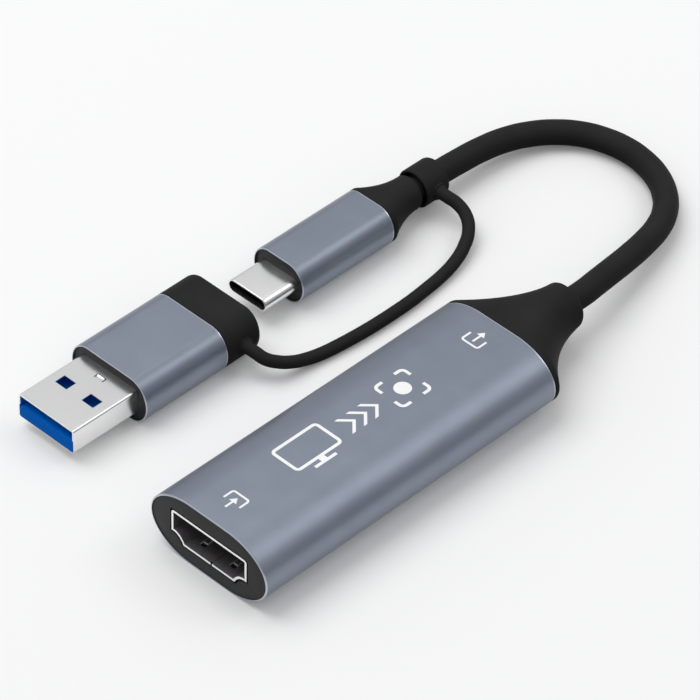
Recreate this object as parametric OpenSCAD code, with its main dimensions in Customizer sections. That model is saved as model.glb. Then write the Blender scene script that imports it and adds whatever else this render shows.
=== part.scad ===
// Video capture box: an oval metal housing with a video socket at the front, a short captive
// lead ending in a type C plug, and a type A adapter tethered to a collar on that lead.
// X is to the right, Y runs along the box from the video socket to the lead, Z is up.
// The origin is under the middle of the box and its strain relief.

/* [Box housing] */
// Width of the oval sleeve
body_w = 24.2; // [22:0.1:28]
// Height of the oval sleeve
body_h = 11.9; // [11:0.1:14]
// Length of the sleeve
body_l = 61.2; // [56:0.2:80]
// Width of the flat band along the top and the underside
body_flat = 7.5; // [5:0.5:9]
// Wall of the sleeve
body_wall = 0.5; // [0.45:0.05:1.1]
// Bevel round the front rim of the sleeve
body_bevel = 0.3; // [0.1:0.05:0.4]
// Thickness of the front bezel
bezel_t = 2; // [1.2:0.1:3]
// Depth of the bezel's face behind the rim
bezel_recess = 0.1; // [0:0.05:0.6]

/* [Video socket] */
// Width of the steel shell
socket_w = 15.6; // [14.6:0.1:15.8]
// Height of the steel shell
socket_h = 5.7; // [5.2:0.1:5.9]
// Width of the flat floor of the shell
socket_floor_w = 10.6; // [9.6:0.1:11.4]
// Height of the upright sides of the shell
socket_side_h = 4.1; // [3.2:0.1:4.3]
// Sheet thickness of the shell
socket_wall = 0.4; // [0.25:0.05:0.5]
// Length of the shell
socket_l = 12; // [10.5:0.1:14]
// Drop of the shell's middle below the middle of the sleeve
socket_drop = 0.4; // [0:0.05:0.5]
// Width of the tongue
socket_tongue_w = 11.2; // [10.4:0.1:12]
// Thickness of the tongue
socket_tongue_t = 1; // [0.8:0.05:1.3]
// Depth of the tongue's tip behind the mouth
socket_tongue_recess = 2.4; // [0.8:0.1:2.8]
// Length of the insulator block at the back of the shell
socket_base_l = 3; // [2:0.1:4]
// Width of the slots round the two spring fingers in each of the lid and the floor
finger_w = 1.2; // [1:0.1:2.2]
// Length of those slots
finger_l = 4; // [3:0.1:5]
// Open length of a slot in front of the finger's tip
finger_tip = 1.1; // [0.3:0.1:1.6]
// Width of the seam along the floor of the shell
seam_w = 0.3; // [0.1:0.05:0.5]

/* [Main board] */
// Thickness of the circuit board
board_t = 1; // [0.8:0.1:1.2]
// Width of the rail on each side of the board
rail_w = 0.6; // [0.4:0.05:1]
// Height of the rails above the board
rail_h = 0.8; // [0.4:0.1:1.4]
// Side of the capture chip
chip_w = 9; // [7:0.5:10]
// Height of the capture chip
chip_h = 1.2; // [0.8:0.1:1.6]
// Side of the receiver chip
receiver_w = 7; // [5:0.5:8]
// Height of the receiver chip
receiver_h = 0.9; // [0.6:0.1:1.2]
// Side of the power inductor
inductor_w = 4; // [3:0.1:5]
// Height of the power inductor
inductor_h = 2; // [1.2:0.1:3]
// Length of the memory chip
memory_l = 4.9; // [4:0.1:6]
// Width of the memory chip's body
memory_w = 3.9; // [3:0.1:4.5]
// Height of the memory chip
memory_h = 1.5; // [1:0.1:2]
// Length of the crystal can
crystal_l = 3.2; // [2.5:0.1:5]
// Width of the crystal can
crystal_w = 2.5; // [2:0.1:3]
// Height of the crystal can
crystal_h = 0.8; // [0.6:0.1:1.2]
// Length of a chip capacitor
cap_l = 1.6; // [1:0.1:2]
// Width and height of a chip capacitor
cap_w = 0.8; // [0.5:0.1:1.2]
// Capacitors in the row behind the capture chip
cap_count = 5; // [3:1:6]
// Room behind the board for the soldered wires
wire_room = 5; // [4:0.5:8]
// Diameter of one insulated wire of the lead
wire_d = 0.8; // [0.5:0.05:1]
// Wires soldered to the main board
wire_count = 8; // [4:1:9]

/* [Strain relief of the box] */
// Length of the moulded strain relief behind the sleeve
relief_l = 15.4; // [12:0.1:20]
// Length of its straight flange
relief_flange = 0.8; // [0.4:0.1:2]
// Diameter of its round neck
relief_neck_d = 7.9; // [6:0.1:10]
// Rounding of the end of the neck
relief_lip = 0.8; // [0.4:0.1:1.4]
// Rise of the neck's middle above the middle of the sleeve
relief_rise = 0.6; // [0:0.1:1.4]
// How long the height holds along the taper before it drops
relief_hold = 2; // [1:0.1:3]
// Length of the spigot inside the sleeve
relief_spigot_l = 5; // [3:0.5:7]

/* [Lead] */
// Diameter of the lead
cable_d = 4.2; // [3:0.1:4.8]
// Straight length of the lead at each end
cable_straight = 4; // [2:0.5:5]
// Distance from the middle of the box to the axis of the plug
plug_x = 37.5; // [34:0.1:42]
// Place of the plug's tip along the box
plug_tip_y = 6.5; // [4:0.1:9]

/* [Type C plug] */
// Width of the steel shell
plug_shell_w = 8.25; // [8.1:0.05:8.4]
// Height of the steel shell
plug_shell_h = 2.4; // [2.3:0.05:2.6]
// Length of the shell in front of the sleeve
plug_shell_l = 6.8; // [6.2:0.05:7.4]
// Sheet thickness of the shell
plug_shell_wall = 0.2; // [0.15:0.05:0.3]
// Rounding of the shell's front edge
plug_shell_lip = 0.2; // [0.1:0.05:0.45]
// Depth of the slot that takes the tongue
plug_slot_l = 5; // [4.5:0.1:5.4]
// Width of the plug's sleeve
plug_w = 10.9; // [10.2:0.1:13]
// Height of the plug's sleeve
plug_h = 7.5; // [6.6:0.1:8.2]
// Width of the flat band along the plug's sleeve
plug_flat = 4.4; // [3:0.1:5.5]
// Length of the plug's sleeve
plug_l = 20.2; // [18:0.2:26]
// Wall of the plug's sleeve
plug_wall = 0.4; // [0.35:0.05:0.8]
// Length of the black nose inside the sleeve
plug_nose_l = 4.5; // [3:0.1:6]
// Depth of the nose's face behind the rim
plug_nose_recess = 0.3; // [0:0.05:0.6]
// Length of the plug's strain relief
plug_relief_l = 9.2; // [7:0.1:12]
// Length of the straight flange of the plug's strain relief
plug_relief_flange = 0.8; // [0.4:0.1:1.5]
// Diameter of the neck of the plug's strain relief
plug_neck_d = 5.9; // [5:0.1:6.4]
// Rounding of the end of that neck
plug_neck_lip = 0.6; // [0.3:0.1:0.9]
// How long its height holds along the taper before it drops
plug_hold = 1; // [1:0.1:3]
// Length of the spigot of the plug's strain relief
plug_spigot_l = 4; // [3:0.5:5.5]
// Thickness of the boards in the plug and the adapter
small_board_t = 0.8; // [0.6:0.1:1]

/* [Tether] */
// Diameter of the tether
tether_d = 2.1; // [1.6:0.1:2.4]
// Length of the collar
collar_l = 5.1; // [4:0.1:6]
// Outer diameter of the collar
collar_d = 6.7; // [6:0.1:8]
// Wall round the open mouth at the front of the collar
collar_wall = 0.35; // [0.3:0.05:0.9]
// Depth of that mouth
collar_mouth_l = 2.2; // [1:0.1:3]
// Rounding of the collar's edges
collar_round = 0.6; // [0.2:0.05:0.7]
// Distance from the neck of the plug to the collar
collar_offset = 0.6; // [0.4:0.1:1.5]
// Diameter of a tether root where it meets its collar or block
root_d = 3; // [2.6:0.1:4]
// Length of the tether root on the adapter
adapter_root_l = 1.2; // [0.6:0.1:2]
// Length of the tether root on the collar
collar_root_l = 0.8; // [0.5:0.1:1.5]

/* [Type A adapter] */
// Width of the type A shell
type_a_w = 12; // [11.9:0.05:12.2]
// Height of the type A shell
type_a_h = 4.5; // [4.4:0.05:4.7]
// Length of the shell in front of the sleeve
type_a_l = 12.9; // [11.7:0.1:14]
// Sheet thickness of the shell
type_a_wall = 0.3; // [0.25:0.05:0.4]
// Bend radius of the shell's corners
type_a_round = 0.45; // [0.4:0.05:0.8]
// Thickness of the tongue
type_a_tongue_t = 1.85; // [1.5:0.05:2]
// Depth of the open space over the tongue
type_a_depth = 9.2; // [8:0.1:10.5]
// Width of the latch windows
window_w = 2.5; // [2:0.1:3]
// Length of the latch windows
window_l = 2; // [1.5:0.1:2.5]
// Distance between the middles of the two latch windows
window_pitch = 5.8; // [4.6:0.1:6.2]
// Distance from the tip to the middle of the latch windows
window_y = 6.7; // [5:0.1:7.2]
// Width of the lanced tab on top of the shell
tab_w = 1.9; // [1.4:0.1:2.6]
// Length of the lanced tab
tab_l = 0.95; // [0.7:0.05:1.6]
// Distance from the hinge of the lanced tab to the sleeve
tab_y = 2.25; // [1.8:0.05:3]
// Width of the adapter's sleeve
adapter_w = 16.5; // [15:0.1:18]
// Height of the adapter's sleeve
adapter_h = 8.3; // [7.6:0.1:9.5]
// Width of the flat band along the adapter's sleeve
adapter_flat = 9.4; // [8:0.1:10.5]
// Length of the adapter's sleeve
adapter_l = 17.15; // [15:0.1:22]
// Wall of the adapter's sleeve
adapter_wall = 0.4; // [0.35:0.05:0.8]
// Length of the black nose inside the sleeve
adapter_nose_l = 5; // [3:0.1:6]
// Depth of the nose's face behind the rim
adapter_nose_recess = 0.3; // [0:0.05:0.6]
// Length of the black socket block behind the sleeve
block_l = 7.3; // [6.8:0.1:9]
// Rounding of the rear edge of the block
block_round = 1.1; // [0.4:0.1:1.4]
// Length of the block's spigot inside the sleeve
block_spigot_l = 4; // [3:0.1:5]
// Gap between the adapter and the plug as they lie
dock_gap = 4.75; // [2:0.05:8]
// Gap left between the adapter and the plug's sleeve when they are pushed together
dock_clear = 0.3; // [0.2:0.05:0.6]

/* [Type C socket] */
// Sheet thickness of the socket's shell
port_wall = 0.25; // [0.2:0.05:0.35]
// Depth of the socket behind the end of the plug
port_spare = 0.3; // [0.15:0.05:0.5]
// Width of the socket's tongue
port_tongue_w = 6.7; // [6.4:0.05:6.8]
// Thickness of the tongue's core
port_tongue_t = 0.5; // [0.4:0.05:0.55]
// Depth of the tongue's tip behind the mouth
port_tongue_recess = 1.9; // [1.7:0.05:2.4]

/* [Clearances] */
// Clearance of a piece that sits inside a sleeve or a cut-out
fit_gap = 0.1; // [0.05:0.01:0.15]
// Running clearance between the type C plug and its socket
mate_gap = 0.1; // [0.08:0.01:0.15]
// Running clearance between the collar's bore and the lead
collar_gap = 0.25; // [0.15:0.05:0.4]
// Thickness of a metal contact
contact_t = 0.1; // [0.08:0.01:0.12]
// Bevel on the front rims of the plug's and the adapter's sleeves
small_bevel = 0.25; // [0.1:0.05:0.3]

/* [Hidden] */

// Points in a quarter of each kind of outline
body_arc = 12;
small_arc = 9;
corner_arc = 4;
// Overshoot of every cut
cut = 0.5;

// Places along the box
y_front = -(body_l + relief_l) / 2;
y_rear = y_front + body_l;
y_neck = y_rear + relief_l;
y_face = y_front + bezel_recess;
box_z = body_h / 2;
body_outline = oval(body_w, body_h, body_flat, body_arc);
body_fill = inset(body_outline, body_wall + fit_gap);

// Video socket and board
socket_z = box_z - socket_drop;
socket_corner = 0.55;
socket_curl = 3;
socket_arc = 6;
socket_outer = socket_outline();
socket_bore = inset(socket_outer, socket_wall);
y_socket_end = y_face + socket_l;
y_socket_base = y_socket_end - socket_base_l;
finger_x = 3.1;
finger_slit = 0.2;
finger_y = y_face + 1.6;
seam_x = 0.5;
board_top = socket_z - socket_h / 2;
board_bottom = board_top - board_t;
y_board = y_face + bezel_t + fit_gap;
y_board_end = y_rear - relief_spigot_l - wire_room;
board_half = oval_half(body_w, body_h, body_flat, body_wall + fit_gap, board_bottom - box_z) - rail_w;
board_w = 2 * (board_half - fit_gap);
carrier_wall = 0.5;
carrier_ledge = 1.2;
part_space = 0.6;
memory_foot = 0.9;
y_receiver = y_socket_end + 2 * part_space + receiver_w / 2;
y_crystal = y_receiver + receiver_w / 2 + part_space + crystal_w / 2;
y_chip = y_crystal + crystal_w / 2 + part_space + chip_w / 2;
y_caps = y_chip + chip_w / 2 + 2 * part_space;
y_power = y_caps + cap_l + 2 * part_space + max(memory_w + 2 * memory_foot, inductor_w) / 2;
power_row_w = memory_l + 2 * part_space + inductor_w;
cap_pitch = board_w / (cap_count + 1);
wire_pitch = (board_w - 2 * wire_d) / wire_count;
wire_lift = 1.2;

// Lead, plug and collar
plug_z = max(adapter_h, plug_h) / 2;
axis = [-plug_x, 0, plug_z];
y_plug = plug_tip_y + plug_shell_l;
y_plug_end = y_plug + plug_l;
y_plug_neck = y_plug_end + plug_relief_l;
y_collar = y_plug_neck + collar_offset;
y_collar_mid = y_collar + collar_l / 2;
plug_outline = oval(plug_w, plug_h, plug_flat, small_arc);
plug_fill = inset(plug_outline, plug_wall + fit_gap);
plug_slot = oval(plug_shell_w, plug_shell_h, plug_shell_w - plug_shell_h, small_arc);
plug_tail = 3;
y_plug_tail = y_plug + plug_nose_l + plug_tail;
tongue_gap = 0.15;
slot_w = port_tongue_w + 2 * tongue_gap;
slot_h = port_tongue_t + 4 * contact_t + 2 * tongue_gap;
small_pitch = 0.5;
small_contacts = 12;
small_contact_w = 0.25;
plug_board_w = 2 * oval_half(plug_w, plug_h, plug_flat, plug_wall + fit_gap, small_board_t / 2) - 2 * rail_w;
plug_wire_count = 4;
neck_flat = 0.4;
taper_power = 2;
taper_steps = 12;
lip_steps = 4;

// Adapter
y_block_end = plug_tip_y - dock_gap;
y_block = y_block_end - block_l;
y_adapter = y_block - adapter_l;
y_type_a = y_adapter - type_a_l;
y_nose_end = y_adapter + adapter_nose_recess + adapter_nose_l;
adapter_outline = oval(adapter_w, adapter_h, adapter_flat, small_arc);
adapter_fill = inset(adapter_outline, adapter_wall + fit_gap);
type_a_outer = rounded(type_a_w, type_a_h, type_a_round, corner_arc);
type_a_bore = inset(type_a_outer, type_a_wall);
type_a_floor = -type_a_h / 2 + type_a_wall;
type_a_recess = 0.4;
type_a_pads = [-3.5, -1, 1, 3.5];
type_a_far_pads = [-4, -2, 0, 2, 4];
type_a_pad_w = 1;
adapter_board_w = type_a_w - 2 * type_a_wall;

// Type C socket in the adapter
port_bore = inset(plug_slot, -mate_gap);
port_outer = inset(plug_slot, -mate_gap - port_wall);
port_hole = inset(plug_slot, -mate_gap - port_wall - fit_gap);
y_port_base = y_block_end - (plug_shell_l - dock_clear + port_spare);
y_port_end = y_block - block_spigot_l;
y_port_tip = y_block_end - port_tongue_recess;
root_embed = 1;
collar_embed = 0.8 * collar_wall;
adapter_root_x = adapter_w / 2 + adapter_root_l;
collar_root_x = collar_d / 2 + collar_root_l;
y_root = y_block + block_l / 2;
tether_straight = 0.9;

// Route of the lead between its two straight ends, from the box to the plug
cable_bends = [
    [-0.5, 45.4, 6.15], [-1.25, 49.6, 5.5], [-2.15, 54.6, 4.75], [-3.35, 59.9, 3.95], [-4.8, 64.7, 3.35],
    [-7.1, 69.1, 2.8], [-10.35, 72.7, 2.4], [-14, 75.1, 2.2], [-18.2, 76.5, 2.15],
    [-22.2, 76.8, 2.15], [-26.3, 76.1, 2.15], [-29.9, 74.5, 2.2], [-32.9, 71.7, 2.45],
    [-35.2, 68, 2.8], [-36.7, 63.4, 3.25], [-37.3, 58.4, 3.7], [-37.4, 53.6, 4.05]];
cable_sides = 8;
cable_start = [0, y_neck, box_z + relief_rise];
cable_end = [-plug_x, y_plug_neck, plug_z];
cable_guide = collar_offset + collar_l + 0.8;
cable_route = concat(
    [cable_start, cable_start + [0, cable_straight, 0]],
    cable_bends,
    [cable_end + [0, cable_guide, 0], cable_end]);

// Route of the tether between its two roots, from the adapter to the collar
tether_bends = [
    [-25.4, -1.5, 3.7], [-24.1, 0, 3], [-23.3, 2.1, 2.2], [-22.8, 4.7, 1.5], [-22.3, 7.7, 1.15],
    [-21.9, 10.7, 1.1], [-21.6, 13.7, 1.1], [-21.4, 16.7, 1.1], [-21.3, 19.9, 1.1], [-21.3, 23, 1.1],
    [-21.4, 26.4, 1.1], [-21.7, 29.9, 1.1], [-22.1, 33.6, 1.15], [-22.8, 37.4, 1.4],
    [-24, 40.8, 1.8], [-25.8, 43.8, 2.4], [-28.1, 45.6, 3.1], [-30.5, 46.1, 3.75]];
tether_start = [adapter_root_x - plug_x, y_root, plug_z];
tether_end = [collar_root_x - plug_x, y_collar_mid, plug_z];
tether_route = concat(
    [tether_start, tether_start + [tether_straight, 0, 0]],
    tether_bends,
    [tether_end + [tether_straight, 0, 0], tether_end]);

function unit(v) = v / norm(v);
function mix(a, b, k) = a + (b - a) * k;
function raised(pts, d) = [for (p = pts) [p.x, p.y + d]];

// Oval outline: flat bands joined by four elliptical quarters, anticlockwise from +X
function oval(w, h, flat, n) =
    let (a = (w - flat) / 2, b = h / 2, q = 90 / n)
    concat(
        [for (i = [0:n]) [flat / 2 + a * cos(q * i), b * sin(q * i)]],
        [for (i = [0:n]) [-flat / 2 - a * sin(q * i), b * cos(q * i)]],
        [for (i = [1:n]) [-flat / 2 - a * cos(q * i), -b * sin(q * i)]],
        [for (i = [0:n - 1]) [flat / 2 + a * sin(q * i), -b * cos(q * i)]]);

// Half the inner width of an oval tube at a height from its middle
function oval_half(w, h, flat, wall, z) =
    let (a = (w - flat) / 2 - wall, b = h / 2 - wall)
    flat / 2 + a * sqrt(1 - z * z / (b * b));

// Rectangle with round corners, anticlockwise
function rounded(w, h, r, n) = [
    for (q = [0:3], i = [0:n])
        let (a = 90 * (q + i / n), x = q == 0 || q == 3 ? 1 : -1, z = q < 2 ? 1 : -1)
        [x * (w / 2 - r) + r * cos(a), z * (h / 2 - r) + r * sin(a)]];

// Left-hand normal of the edge from a to b, which points into an anticlockwise outline
function inward(a, b) = let (d = unit(b - a)) [-d.y, d.x];

// Outline moved inwards by d, or outwards where d is negative
function inset(pts, d) =
    let (n = len(pts))
    [for (i = [0:n - 1])
        let (u = inward(pts[(i + n - 1) % n], pts[i]), v = inward(pts[i], pts[(i + 1) % n]))
        pts[i] + d * (u + v) / (1 + u * v)];

// Height of the socket's stepped lower corner, from 0 at the floor to 1 at the side
function corner_step(t) = 1 - pow(1 - t, socket_curl);

// Video socket outline: flat floor, stepped lower corners, upright sides and round top corners
function socket_outline() =
    let (
        x = socket_w / 2,
        top = socket_h / 2,
        floor_x = socket_floor_w / 2,
        step_h = socket_h - socket_side_h,
        step = [for (i = [0:socket_arc])
            let (t = i / socket_arc)
            [mix(floor_x, x, t), -top + step_h * corner_step(t)]],
        bend = [for (i = [0:corner_arc])
            let (a = 90 * i / corner_arc)
            [x - socket_corner * (1 - cos(a)), top - socket_corner * (1 - sin(a))]],
        right = concat(step, bend),
        n = len(right))
    concat(right, [for (i = [n - 1:-1:0]) [-right[i].x, right[i].y]]);

// Direction of a route at one of its points
function heading(route, i) =
    let (
        last = len(route) - 1,
        before = i > 0 ? unit(route[i] - route[i - 1]) : [0, 0, 0],
        after = i < last ? unit(route[i + 1] - route[i]) : [0, 0, 0])
    unit(before + after);

// Sections of a strain relief: flange, hollow taper to a round neck, rounded end
function relief_sections(w, h, flat, neck, y0, y1, flange, lip, rise, hold, n) = concat(
    [[y0, oval(w, h, flat, n)]],
    [for (i = [0:taper_steps])
        let (
            u = i / taper_steps,
            wide = pow(1 - u, taper_power),
            high = pow(1 - pow(u, hold), taper_power / hold))
        [mix(y0 + flange, y1 - lip, u),
            raised(oval(mix(neck, w, wide), mix(neck, h, high), mix(neck_flat, flat, wide), n),
                rise * (1 - high))]],
    [for (i = [1:lip_steps])
        let (a = 90 * i / lip_steps, d = neck - 2 * lip * (1 - cos(a)))
        [y1 - lip + lip * sin(a), raised(oval(d, d, neck_flat, n), rise)]]);

// Sections of a block whose rear edge is rounded
function round_end_sections(pts, y0, y1, r) = concat(
    [[y0, pts]],
    [for (i = [0:lip_steps])
        let (a = 90 * i / lip_steps)
        [y1 - r + r * sin(a), inset(pts, r * (1 - cos(a)))]]);

// Sections of a shell whose front edge is rounded
function round_front_sections(pts, y0, y1, r) = concat(
    [for (i = [0:lip_steps])
        let (a = 90 * i / lip_steps)
        [y0 + r * (1 - cos(a)), inset(pts, r * (1 - sin(a)))]],
    [[y1, pts]]);

// Skin through outlines in X and Z at rising Y, each section being [y, outline]
module loft(sections) {
    n = len(sections[0][1]);
    last = len(sections) - 1;
    sides = [for (j = [0:last - 1], i = [0:n - 1])
        let (a = j * n + i, b = j * n + (i + 1) % n)
        each [[a, b, b + n], [a, b + n, a + n]]];
    front = [for (i = [n - 1:-1:0]) i];
    back = [for (i = [0:n - 1]) last * n + i];
    polyhedron(
        points = [for (s = sections, p = s[1]) [p.x, s[0], p.y]],
        faces = concat(sides, [front, back]));
}

// Round tube along a route that never runs along the reference direction
module tube(route, d, sides, reference) {
    last = len(route) - 1;
    rings = [for (i = [0:last])
        let (
            dir = heading(route, i),
            side = unit(cross(dir, reference)),
            rise = cross(side, dir))
        for (k = [0:sides - 1])
            let (a = 360 * k / sides)
            route[i] + d / 2 * (cos(a) * side + sin(a) * rise)];
    skin = [for (j = [0:last - 1], k = [0:sides - 1])
        let (a = j * sides + k, b = j * sides + (k + 1) % sides)
        each [[a, b + sides, b], [a, a + sides, b + sides]]];
    front = [for (k = [0:sides - 1]) k];
    back = [for (k = [sides - 1:-1:0]) last * sides + k];
    polyhedron(points = rings, faces = concat(skin, [front, back]));
}

// Outline in X and Z carried along Y from y0 to y1
module slab(y0, y1) {
    translate([0, y1, 0])
        rotate([90, 0, 0])
            linear_extrude(y1 - y0)
                children();
}

// Box centred on x, from y0 to y1 and from z0 to z1
module bar(x, w, y0, y1, z0, z1) {
    translate([x - w / 2, y0, z0])
        cube([w, y1 - y0, z1 - z0]);
}

// Oval tube with a bevelled front rim
module sleeve(outline, wall, bevel, y0, y1) {
    difference() {
        union() {
            loft([[y0, inset(outline, bevel)], [y0 + bevel, outline]]);
            slab(y0 + bevel, y1) polygon(outline);
        }
        slab(y0 - cut, y1 + cut) polygon(inset(outline, wall));
    }
}

// Strain relief with its spigot
module relief(w, h, flat, neck, y0, y1, flange, lip, rise, hold, spigot_l, spigot, n) {
    loft(relief_sections(w, h, flat, neck, y0, y1, flange, lip, rise, hold, n));
    slab(y0 - spigot_l, y0) polygon(spigot);
}

// Row of flat contacts side by side in X
module contact_row(count, pitch, w, y0, y1, z0) {
    for (i = [0:count - 1])
        bar((i - (count - 1) / 2) * pitch, w, y0, y1, z0, z0 + contact_t);
}

// Flared root of the tether, along X from its buried end to its tip
module root(length, embed, y) {
    flare = [for (i = [0:lip_steps])
        let (a = 90 * i / lip_steps)
        [mix(tether_d, root_d, 1 - sin(a)) / 2, embed + length * (1 - cos(a))]];
    translate([0, y, 0])
        rotate([0, 90, 0])
            rotate_extrude($fn = 48)
                polygon(concat([[0, 0], [root_d / 2, 0]], flare, [[0, embed + length]]));
}

module housing_sleeve() {
    color("slategray")
        translate([0, 0, box_z])
            sleeve(body_outline, body_wall, body_bevel, y_front, y_rear);
}

module front_bezel() {
    color("black")
        difference() {
            translate([0, 0, box_z])
                slab(y_face, y_face + bezel_t) polygon(body_fill);
            translate([0, 0, socket_z])
                slab(y_face - cut, y_face + bezel_t + cut) polygon(inset(socket_outer, -fit_gap));
        }
}

// Slot round three sides of a spring finger, open at its tip, through the sheet at height z
module finger_slot(x, z) {
    difference() {
        bar(x, finger_w, finger_y, finger_y + finger_l, z - cut, z + cut);
        bar(x, finger_w - 2 * finger_slit, finger_y + finger_tip, finger_y + finger_l + cut,
            z - 2 * cut, z + 2 * cut);
    }
}

module video_socket_shell() {
    color("silver")
        translate([0, 0, socket_z])
            difference() {
                slab(y_face, y_socket_end) polygon(socket_outer);
                slab(y_face - cut, y_socket_end + cut) polygon(socket_bore);
                for (x = [-finger_x, finger_x], z = [-1, 1])
                    finger_slot(x, z * (socket_h - socket_wall) / 2);
                bar(seam_x, seam_w, y_face - cut, y_socket_end + cut,
                    -socket_h, -socket_h / 2 + socket_wall + cut);
            }
}

module video_socket_tongue() {
    color("dimgray")
        translate([0, 0, socket_z]) {
            slab(y_socket_base, y_socket_end) polygon(inset(socket_outer, socket_wall + fit_gap));
            bar(0, socket_tongue_w, y_face + socket_tongue_recess, y_socket_base,
                -socket_tongue_t / 2, socket_tongue_t / 2);
        }
}

module video_socket_contacts() {
    rows = [[10, socket_tongue_t / 2], [9, -socket_tongue_t / 2 - contact_t]];
    color("gold")
        translate([0, 0, socket_z])
            for (row = rows)
                contact_row(row[0], 2 * small_pitch, 2 * small_contact_w,
                    y_face + socket_tongue_recess + 2 * small_pitch, y_socket_base, row[1]);
}

module main_board() {
    color("darkgreen")
        bar(0, board_w, y_board, y_board_end, board_bottom, board_top);
}

module board_carrier() {
    pocket = 2 * board_half;
    color("dimgray")
        difference() {
            translate([0, 0, box_z])
                slab(y_board, y_board_end) polygon(body_fill);
            bar(0, 2 * body_w, y_board - cut, y_board_end + cut, board_top + rail_h, 2 * body_h);
            bar(0, pocket, y_board - cut, y_board_end + cut, board_bottom, 2 * body_h);
            intersection() {
                translate([0, 0, box_z])
                    slab(y_board - cut, y_board_end + cut) polygon(inset(body_fill, carrier_wall));
                bar(0, pocket - 2 * carrier_ledge, y_board - 2 * cut, y_board_end + 2 * cut, 0, box_z);
            }
            bar(0, socket_w + 2 * fit_gap, y_board - cut, y_socket_end + fit_gap, board_top, 2 * body_h);
        }
}

module capture_chip() {
    color("black")
        bar(0, chip_w, y_chip - chip_w / 2, y_chip + chip_w / 2, board_top, board_top + chip_h);
}

module receiver_chip() {
    color("black")
        bar(0, receiver_w, y_receiver - receiver_w / 2, y_receiver + receiver_w / 2,
            board_top, board_top + receiver_h);
}

// Eight-legged package with a moulded body
module memory_chip() {
    x = (memory_l - power_row_w) / 2;
    half = memory_w / 2;
    lead_w = 0.42;
    lead_t = 0.2;
    pitch = memory_l / 4;
    color("black") {
        bar(x, memory_l, y_power - half, y_power + half, board_top + lead_t, board_top + memory_h);
        for (i = [-1.5:1:1.5])
            bar(x + i * pitch, lead_w, y_power - half - memory_foot, y_power + half + memory_foot,
                board_top, board_top + lead_t);
    }
}

module crystal() {
    color("silver")
        bar(0, crystal_l, y_crystal - crystal_w / 2, y_crystal + crystal_w / 2,
            board_top, board_top + crystal_h);
}

// Square ferrite body with clipped corners
module power_inductor() {
    clip = inductor_w / 5;
    half = inductor_w / 2;
    color("darkslategray")
        translate([(power_row_w - inductor_w) / 2, y_power, board_top])
            linear_extrude(inductor_h)
                polygon([
                    [half, clip - half], [half, half - clip], [half - clip, half], [clip - half, half],
                    [-half, half - clip], [-half, clip - half], [clip - half, -half], [half - clip, -half]]);
}

module capacitors() {
    color("tan")
        for (i = [0:cap_count - 1])
            bar((i - (cap_count - 1) / 2) * cap_pitch, cap_w, y_caps, y_caps + cap_l,
                board_top, board_top + cap_w);
}

// Wire in an upright plane: out of a moulding along -Y, then down on to a pad
module wire(x, y_from, z_from, y_pad, z_pad) {
    reach = y_from - y_pad;
    drop = z_from - z_pad;
    path = [
        [x, y_from, z_from], [x, y_from - 0.35 * reach, z_from],
        [x, y_pad + 0.3 * reach, z_from - 0.08 * drop], [x, y_pad + 0.06 * reach, z_from - 0.35 * drop],
        [x, y_pad, z_from - 0.7 * drop], [x, y_pad, z_pad]];
    tube(path, wire_d, 6, [1, 0, 0]);
}

module lead_wires() {
    color("firebrick")
        for (i = [0:wire_count - 1])
            wire((i - (wire_count - 1) / 2) * wire_pitch, y_rear - relief_spigot_l,
                board_top + wire_lift + wire_d, y_board_end - 2 * wire_d, board_top);
}

module strain_relief() {
    color("black")
        translate([0, 0, box_z])
            relief(body_w, body_h, body_flat, relief_neck_d, y_rear, y_neck, relief_flange, relief_lip,
                relief_rise, relief_hold, relief_spigot_l, body_fill, body_arc);
}

module cable() {
    color("black")
        tube(cable_route, cable_d, cable_sides, [0, 0, 1]);
}

module plug_sleeve() {
    color("slategray")
        translate(axis)
            sleeve(plug_outline, plug_wall, small_bevel, y_plug, y_plug_end);
}

module plug_nose() {
    y_nose = y_plug + plug_nose_recess;
    color("black")
        translate(axis)
            difference() {
                slab(y_nose, y_plug + plug_nose_l) polygon(plug_fill);
                slab(y_nose - cut, y_plug + plug_nose_l + cut) polygon(inset(plug_slot, -fit_gap));
            }
}

module plug_shell() {
    lip_l = plug_shell_lip + plug_shell_wall;
    color("silver")
        translate(axis)
            difference() {
                loft(round_front_sections(plug_slot, plug_tip_y, y_plug_tail, plug_shell_lip));
                slab(plug_tip_y - cut, plug_tip_y + lip_l + cut)
                    polygon(inset(plug_slot, plug_shell_lip + plug_shell_wall / 4));
                slab(plug_tip_y + lip_l, y_plug_tail + cut) polygon(inset(plug_slot, plug_shell_wall));
            }
}

module plug_insulator() {
    y0 = plug_tip_y + plug_shell_lip + plug_shell_wall + fit_gap / 2;
    color("black")
        translate(axis)
            difference() {
                slab(y0, y_plug_tail) polygon(inset(plug_slot, plug_shell_wall + fit_gap / 2));
                bar(0, slot_w, y0 - cut, plug_tip_y + plug_slot_l, -slot_h / 2, slot_h / 2);
            }
}

module plug_contacts() {
    y0 = plug_tip_y + plug_slot_l / 4;
    color("gold")
        translate(axis)
            for (z = [-slot_h / 2, slot_h / 2 - contact_t])
                contact_row(small_contacts, small_pitch, small_contact_w, y0, plug_tip_y + plug_slot_l, z);
}

module plug_board() {
    y1 = y_plug_end - plug_spigot_l - wire_room / 2;
    color("darkgreen")
        translate(axis)
            bar(0, plug_board_w, y_plug_tail, y1, -small_board_t / 2, small_board_t / 2);
}

module plug_wires() {
    y1 = y_plug_end - plug_spigot_l;
    pitch = plug_board_w / plug_wire_count;
    color("firebrick")
        translate(axis)
            for (i = [0:plug_wire_count - 1])
                wire((i - (plug_wire_count - 1) / 2) * pitch, y1, small_board_t / 2 + wire_d,
                    y1 - wire_room / 2 - 2 * wire_d, small_board_t / 2);
}

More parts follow.
